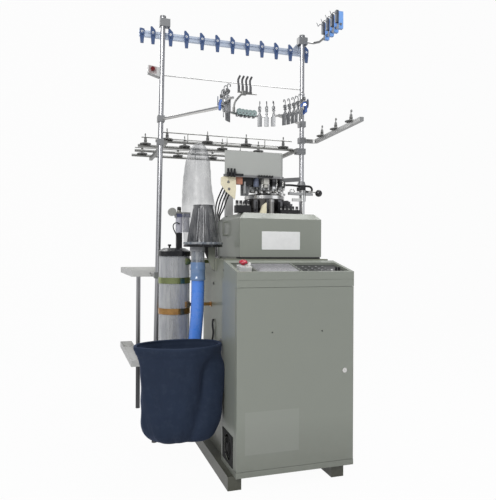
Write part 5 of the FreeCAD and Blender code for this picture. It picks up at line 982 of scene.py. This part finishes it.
# %% [markdown]
# Between the cover's plate and the needle ring hang the small parts that guide the yarn in: a drum that
# covers the dial's drive, thin bracket plates, and bent fingers with a white ceramic foot and a return
# spring. They are stamped and turned parts on the plate's underside, so they are small slabs, lathes and
# springs that start at the plate's height. A bent bracket on the swing arm and three caps on the left valves
# are made in the same way.

# %% Head fittings
AXIS = np.array([310.0, 500.0, 0.0])
PLATE_UNDER = 1496.0
# where the fingers stand round the axis, in degrees from the rearmost point
FINGERS = (162, 137, 112, 98, 80, -100, -138, -154, -172)
FINGER_RADIUS = 104

drum = turned([(64, 1467), (84.9, 1467), (84.9, 1438), (86, 1437), (87.6, 1438.5), (88, 1441), (88, 1452), (87, 1454),
               (88, 1456), (88, 1478), (86, 1479.5), (86, PLATE_UNDER), (64, PLATE_UNDER), (64, 1467)], AXIS, 96)
drum.piece("dial_drum", soft_alloy, finish="alu")
brackets = slab((146, 420, 1404), (192, 423, PLATE_UNDER)) + slab((150, 424, 1418), (166, 440, 1452))
brackets += slab((172, 408, 1414), (190, 420, 1432)) + slab((176, 424, 1440), (192, 436, 1478))
brackets += swept([(160, 432, 1452), (160, 432, 1470), (160, 432, PLATE_UNDER)], 4, 12)
brackets += coil((154, 415, 1408), (154, 415, 1446), 4.2, 1.0, 9)
brackets += fixed(hexagon_head(4.5, 4), [(152, 420, 1456), (180, 408, 1423)], (0, -1, 0))
brackets.piece("feed_brackets", soft_alloy, finish="alu")
finger = slab((-3.5, -6, 1448), (3.5, 6, PLATE_UNDER)) + slab((-7, -4, 1462), (7, 8, 1474))
finger += swept(smooth_line([(0, 0, 1450), (0, -1, 1440), (0, 3, 1431), (0, 9, 1425)], 12), 2.4, 8)
finger += coil((0, 10, 1466), (0, 10, 1490), 4.2, 1.0, 7)
stands = around(AXIS, FINGER_RADIUS, FINGERS)
finger.copies(*stands).piece("feed_fingers", bright_metal, finish="steel")
slab((-4, 7, 1419), (4, 14, 1429)).copies(*stands).piece("ceramic_feet", white_plate, finish="light_plastic")
loops = swept(smooth_line([(452, 399, 1431), (448, 397, 1441), (440, 396, 1448), (430, 396, 1447), (424, 397, 1439),
                           (428, 398, 1431)], 30), 3.2, 10)
loops += slab((430, 392, 1430.6), (470, 404, 1433.5))
loops.piece("arm_bracket", bright_metal, "arm", "steel")
caps = slab((-4, -4, 0), (4, 4, 7)).copies([(96, 318, 1364), (132, 318, 1364), (158, 322, 1364)])
caps.piece("deck_caps", white_plate, finish="light_plastic")
print("head fittings made")

# %% [markdown]
# On the console the keys have pale caps and the two knobs a bright pointer. Each is a thin softened slab
# laid on the part below it.

# %% Console fittings
key = raised(outline(10, 9, 1.5, 3), [(-1, 0), (0.9, 0), (1.3, 0.5)])
KEY_PITCH = (36, 34.9)
keys = [on_console(352 + KEY_PITCH[0] * i, 36 + KEY_PITCH[1] * j, -11.8) for i in range(5) for j in range(4)]
key.copies(keys, [SLOPED] * len(keys)).piece("key_caps", key_skin, finish="light_plastic", smooth=20)
spot = turned([(0, 0), (5, 0), (5, 1.2), (4.4, 1.6), (0, 1.6)], sides=24)
spots = [on_console(512, 58, -13.2), on_console(524, 88, -13.2)]
spot.copies(spots, [SLOPED] * 2).piece("dial_marks", white_plate, finish="light_plastic")
cap = turned([(0, 0), (6.5, 0), (6.5, 7), (5.5, 9), (0, 9)], sides=36)
cap.moved(on_console(91.5, 100, 11), SLOPED).piece("second_button", white_plate, "stand", "light_plastic")
print("keys:", len(keys))

# %% [markdown]
# ## Creel fittings
# Round the ring sit yarn tensioners: a clip on the ring, a plate below, a post with a spring and two small
# discs that pinch the yarn, and a wire hook on top. One shape is made once, with its foot on the ring and its
# face to the ring's middle, and then turned round the ring for every place. Three of them carry a blue feed
# body with a wheel. Five places hold a brake instead: a clip and two pairs of larger discs.

# %% Tensioners
RING = np.array([240.0, 330.0, 1872.0])
RING_RADIUS = 220.0


def on_ring(degrees):
    """Places on the ring and their turns."""
    return around(RING, RING_RADIUS, degrees)


def pinch_discs(radius, y, z, gap=3.0):
    """Two dished discs face to face: a lathe profile with a turned-out rim, and its mirror image."""
    dish = np.array([(0, 0.4), (radius * 0.55, 0.4), (radius * 0.8, 0.9), (radius, 2.3), (radius * 0.98, 2.7),
                     (radius * 0.78, 1.4), (radius * 0.5, 1.0), (0, 1.0)])
    disc = turned(dish, sides=28)
    flipped = Shape(disc.points * (1, 1, -1), disc.faces[:, ::-1])
    return disc.moved((0, y, z), FRONT) + flipped.moved((0, y - gap + 2.6, z), FRONT)


clip = bar(16, 19, 24, (0, 0, 0), 1.0)
hook = swept(smooth_line([(0, 0, 56), (0, 0, 70), (0, -4, 79), (0, -11, 82), (0, -17, 79), (0, -18.5, 72),
                          (0, -15, 69)], 30), 2.7, 8)
tensioner = clip + bar(25, 4.5, 60, (0, -11.5, -31), 0.8) + bar(10, 9, 46, (0, 0, 34), 0.8)
tensioner += bar(18, 16, 5, (0, 0, 31), 0.8) + hook + coil((0, 0, 37), (0, 0, 56), 7.4, 1.0, 7)
tensioner += pinch_discs(9, -9, 44)
hooked = (-105, -95, -52, -44, 14.5, 25, 35.5, 54, 62, 71, 80)
with_disc = (-76, 92, 102)
brakes = (-21, -14.5, -8, -1.5, 5)
metal = tensioner.copies(*on_ring(hooked + with_disc))
metal += (clip + bar(8, 16, 7, (0, -16, 7.5))).copies(*on_ring(brakes))
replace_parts(metal.piece("tensioner_bodies", soft_alloy, finish="alu"), "tensioners")
discs = pinch_discs(17, -14, 12) + pinch_discs(17, -21, 12)
discs.copies(*on_ring(brakes)).piece("brake_discs", teal_mould, finish="alu")
wheel = raised(outline(49, 49, 24.4, 10), [(0, 1.5), (1.2, 0), (3.8, 0), (5, 1.5)])
wheel = wheel.moved((0, 16, 22), facing((0, 1, 0)))
wheel.copies(*on_ring(with_disc)).piece("feed_wheels", wheel_mould, finish="light_plastic")
blue_body = bar(26, 14, 40, (0, 8, -6), 2.0) + bar(18, 20, 20, (0, 2, 18), 2.0)
blue_body.copies(*on_ring(with_disc)).piece("feed_bodies", feed_blue, finish="light_blue")
print("tensioners:", len(hooked) + len(with_disc) + len(brakes))

# %% [markdown]
# One stand on the ring carries a guide over its middle: a bent tube up to a head, a bar across it, a rod to
# the right and four short levers in a row.

# %% Centre guide
gx, gy, gz = on_ring(-28)[0][0]
top = gz + 118
head = gx + 72
guide = bar(14, 14, 30, (gx, gy, gz + 19)) + bar(30, 16, 24, (head - 15, gy, top), 2.0)
tube = [(gx, gy, gz + 30), (gx + 3, gy, gz + 50), (gx + 12, gy, gz + 72), (head - 22, gy, top)]
guide += swept(smooth_line(tube, 24), 5.6, 12)
guide += raised(outline(86, 8, 1.5, 3), [(0, 0.8), (0.8, 0), (7.2, 0), (8, 0.8)]).moved((head - 9, gy, top))
lever = bar(12, 14, 34, (0, 0, 23), 1.2)
lever += swept(smooth_line([(0, 0, 38), (-3, 0, 56), (-3, 0, 72), (1, -5, 84), (4, -12, 92)], 20), 5.8, 10)
guide += swept([(head - 4, gy, top - 4), (head + 30, gy, top - 3), (head + 62, gy, top - 2)], 3, 10)
guide.piece("centre_guide", zinc, finish="zinc")
lever.copies([(head - 44 + 23 * i, gy, top) for i in range(4)]).piece("guide_levers", dark_alloy, finish="alu")
print("centre guide made")

# %% [markdown]
# Each cone holder on the rack is a pressed disc with a rolled edge, a rubber-topped post that the yarn cone
# slips over, and a wire hook. The same shape stands at fifteen places.

# %% Cone holders
RAIL_TOP, HOLDER_PITCH, DISC_RADIUS = 1763, 246, 35
ARM_X, ARM_START, ARM_LENGTH, ARM_TOP, ARM_RISE = 757, 777, 571, 1817.1, 12
disc = turned([(0, 0), (8, 0), (8, 2), (30, 2.4), (33.6, 2), (35, 3.4), (34.6, 5.6), (33, 6.8), (30, 6.2), (12, 6.2),
               (9, 8.5), (8.6, 10), (8.2, 14), (7.6, 40), (6.6, 43), (0, 43)], sides=44)
loop = smooth_line([(0, 0, 42), (0, 0, 52), (1, 4, 60), (0, 2, 64.4), (-2, -6, 65.6), (-4, -14, 63.5),
                    (-5, -19.5, 57), (-5, -18, 51)], 34)
holder = disc + swept(loop, 2.8, 8) + coil((0, 0, 12), (0, 0, 30), 9.0, 1.0, 5)
on_rails = [(first + HOLDER_PITCH * i, y, RAIL_TOP) for y, first in ((840, -180), (1020, -284), (1370, -260))
            for i in range(4)]
# the side arm rises towards its front end, so a level disc touches it at its own front edge
on_arm = [(ARM_X, y, ARM_TOP + ARM_RISE * (ARM_START - (y - DISC_RADIUS)) / ARM_LENGTH) for y in (691, 508, 324)]
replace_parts(holder.copies(on_rails + on_arm).piece("holder_discs", holder_mould, finish="alu"), "cone_holders")
print("cone holders:", len(on_rails) + len(on_arm))

# %% [markdown]
# The dark-blue guides on the top bar have a ceramic eye each, where the yarn would rub plastic through.

# %% Yarn eyes
BAR_LEFT, RIGHT_POST, EYE_HEIGHT = -351, 663, 2372
FIRST_GUIDE, GUIDE_PITCH = RIGHT_POST - 833, 94.7
t = full_turn(24)
eyelet = swept(np.stack((5 * np.cos(t), 0 * t, 5 * np.sin(t)), -1), 1.7, 10, closed=True)
eye_depth = float((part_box("yarn_guides")[1].y - corner.y) * 1000) - 8.6
places_x = [BAR_LEFT + 15, BAR_LEFT + 78] + [FIRST_GUIDE + GUIDE_PITCH * i for i in range(9)] + [RIGHT_POST + 34]
eyes = eyelet.copies([(x, eye_depth, EYE_HEIGHT) for x in places_x])
eyes.piece("yarn_eyes", white_plate, finish="light_plastic")
print("yarn eyes:", len(places_x))

# %% [markdown]
# ## Room and light
# The floor and the wall behind are one sheet that bends up, as in a photographer's studio. The photograph
# has a white ground, so the camera sees the sheet almost white, with the machine's faint shadow left in it,
# while the machine itself is lit at a plain level.

# %% Studio sheet
def studio_paper():
    """White to the camera and in reflections; a plain pale surface for the light that reaches the machine."""
    paper = Recipe("studio_paper")
    seen, through, glossy = paper.parts("LightPath", ("Is Camera Ray", "Is Transmission Ray", "Is Glossy Ray"))
    share = ((seen + through).clipped() * 0.965 + glossy * 0.55).clipped()
    matte = paper.node("BsdfDiffuse", Color=(0.6, 0.6, 0.6, 1))
    white = paper.node("Emission", Color=(1, 1, 1, 1), Strength=1.0)
    return paper.surface(paper.node("MixShader", i0=share, i1=matte, i2=white))


FLOOR_END, BEND, WALL_TOP = 4200, 1500, 9000
bend = np.linspace(0, np.pi / 2, 24)
curve = np.column_stack((FLOOR_END + BEND * np.sin(bend), BEND - BEND * np.cos(bend)))
side_view = np.concatenate(([(-6000, 0)], curve, [(FLOOR_END + BEND, WALL_TOP)]))
# the sheet lies 0.4 mm under the rails, so the two never fight for the same place
points = np.stack(np.broadcast_arrays(np.linspace(-9000, 9000, 25)[None], side_view[:, :1], side_view[:, 1:] - 0.4), -1)
paper_mesh = Shape.grid(points, wrap_columns=False).mesh("studio_sheet", studio_paper())
paper_mesh.polygons.foreach_set("use_smooth", np.ones(len(paper_mesh.polygons), bool))
linked("studio_sheet", paper_mesh)
print("studio sheet faces:", len(paper_mesh.polygons))

# %% [markdown]
# The world gives a faint cool light from all round, but shows white to the camera. Four square lamps do the
# rest: a key from the front left, a fill from the right, one from above and one from behind.

# %% World and lamps
room = Recipe("studio", bpy.data.worlds)
seen, through = room.parts("LightPath", ("Is Camera Ray", "Is Transmission Ray"))
dim = room.node("Background", Color=(0.93, 0.95, 1.0, 1), Strength=0.34)
full = room.node("Background", Color=(1, 1, 1, 1))
chosen = room.node("MixShader", i0=seen.joined("MAXIMUM", seen, through), i1=dim, i2=full)
bpy.context.scene.world = room.surface(chosen, "OutputWorld")


def softbox(name, spot, target, size, watts, colour=(1, 1, 1)):
    """A square lamp at a place, turned to a target."""
    data = bpy.data.lights.new(name, "AREA")
    data.shape = "SQUARE"
    data.size = size
    data.energy = watts
    data.color = colour
    lamp = linked(name, data)
    lamp.location = Vector(place(spot))
    lamp.rotation_euler = (Vector(place(target)) - lamp.location).to_track_quat("-Z", "Y").to_euler()


softbox("key", (-2600, -3600, 3600), (250, 300, 1100), 2.2, 145)
softbox("fill", (3400, -2600, 1900), (250, 300, 1100), 2.6, 18, (0.95, 0.97, 1.0))
softbox("top", (1500, 250, 5000), (300, 450, 1300), 2.0, 90)
softbox("back", (-1500, 3600, 3800), (200, 600, 1500), 2.0, 30)
bpy.context.scene.view_settings.view_transform = "Standard"
print("light set")
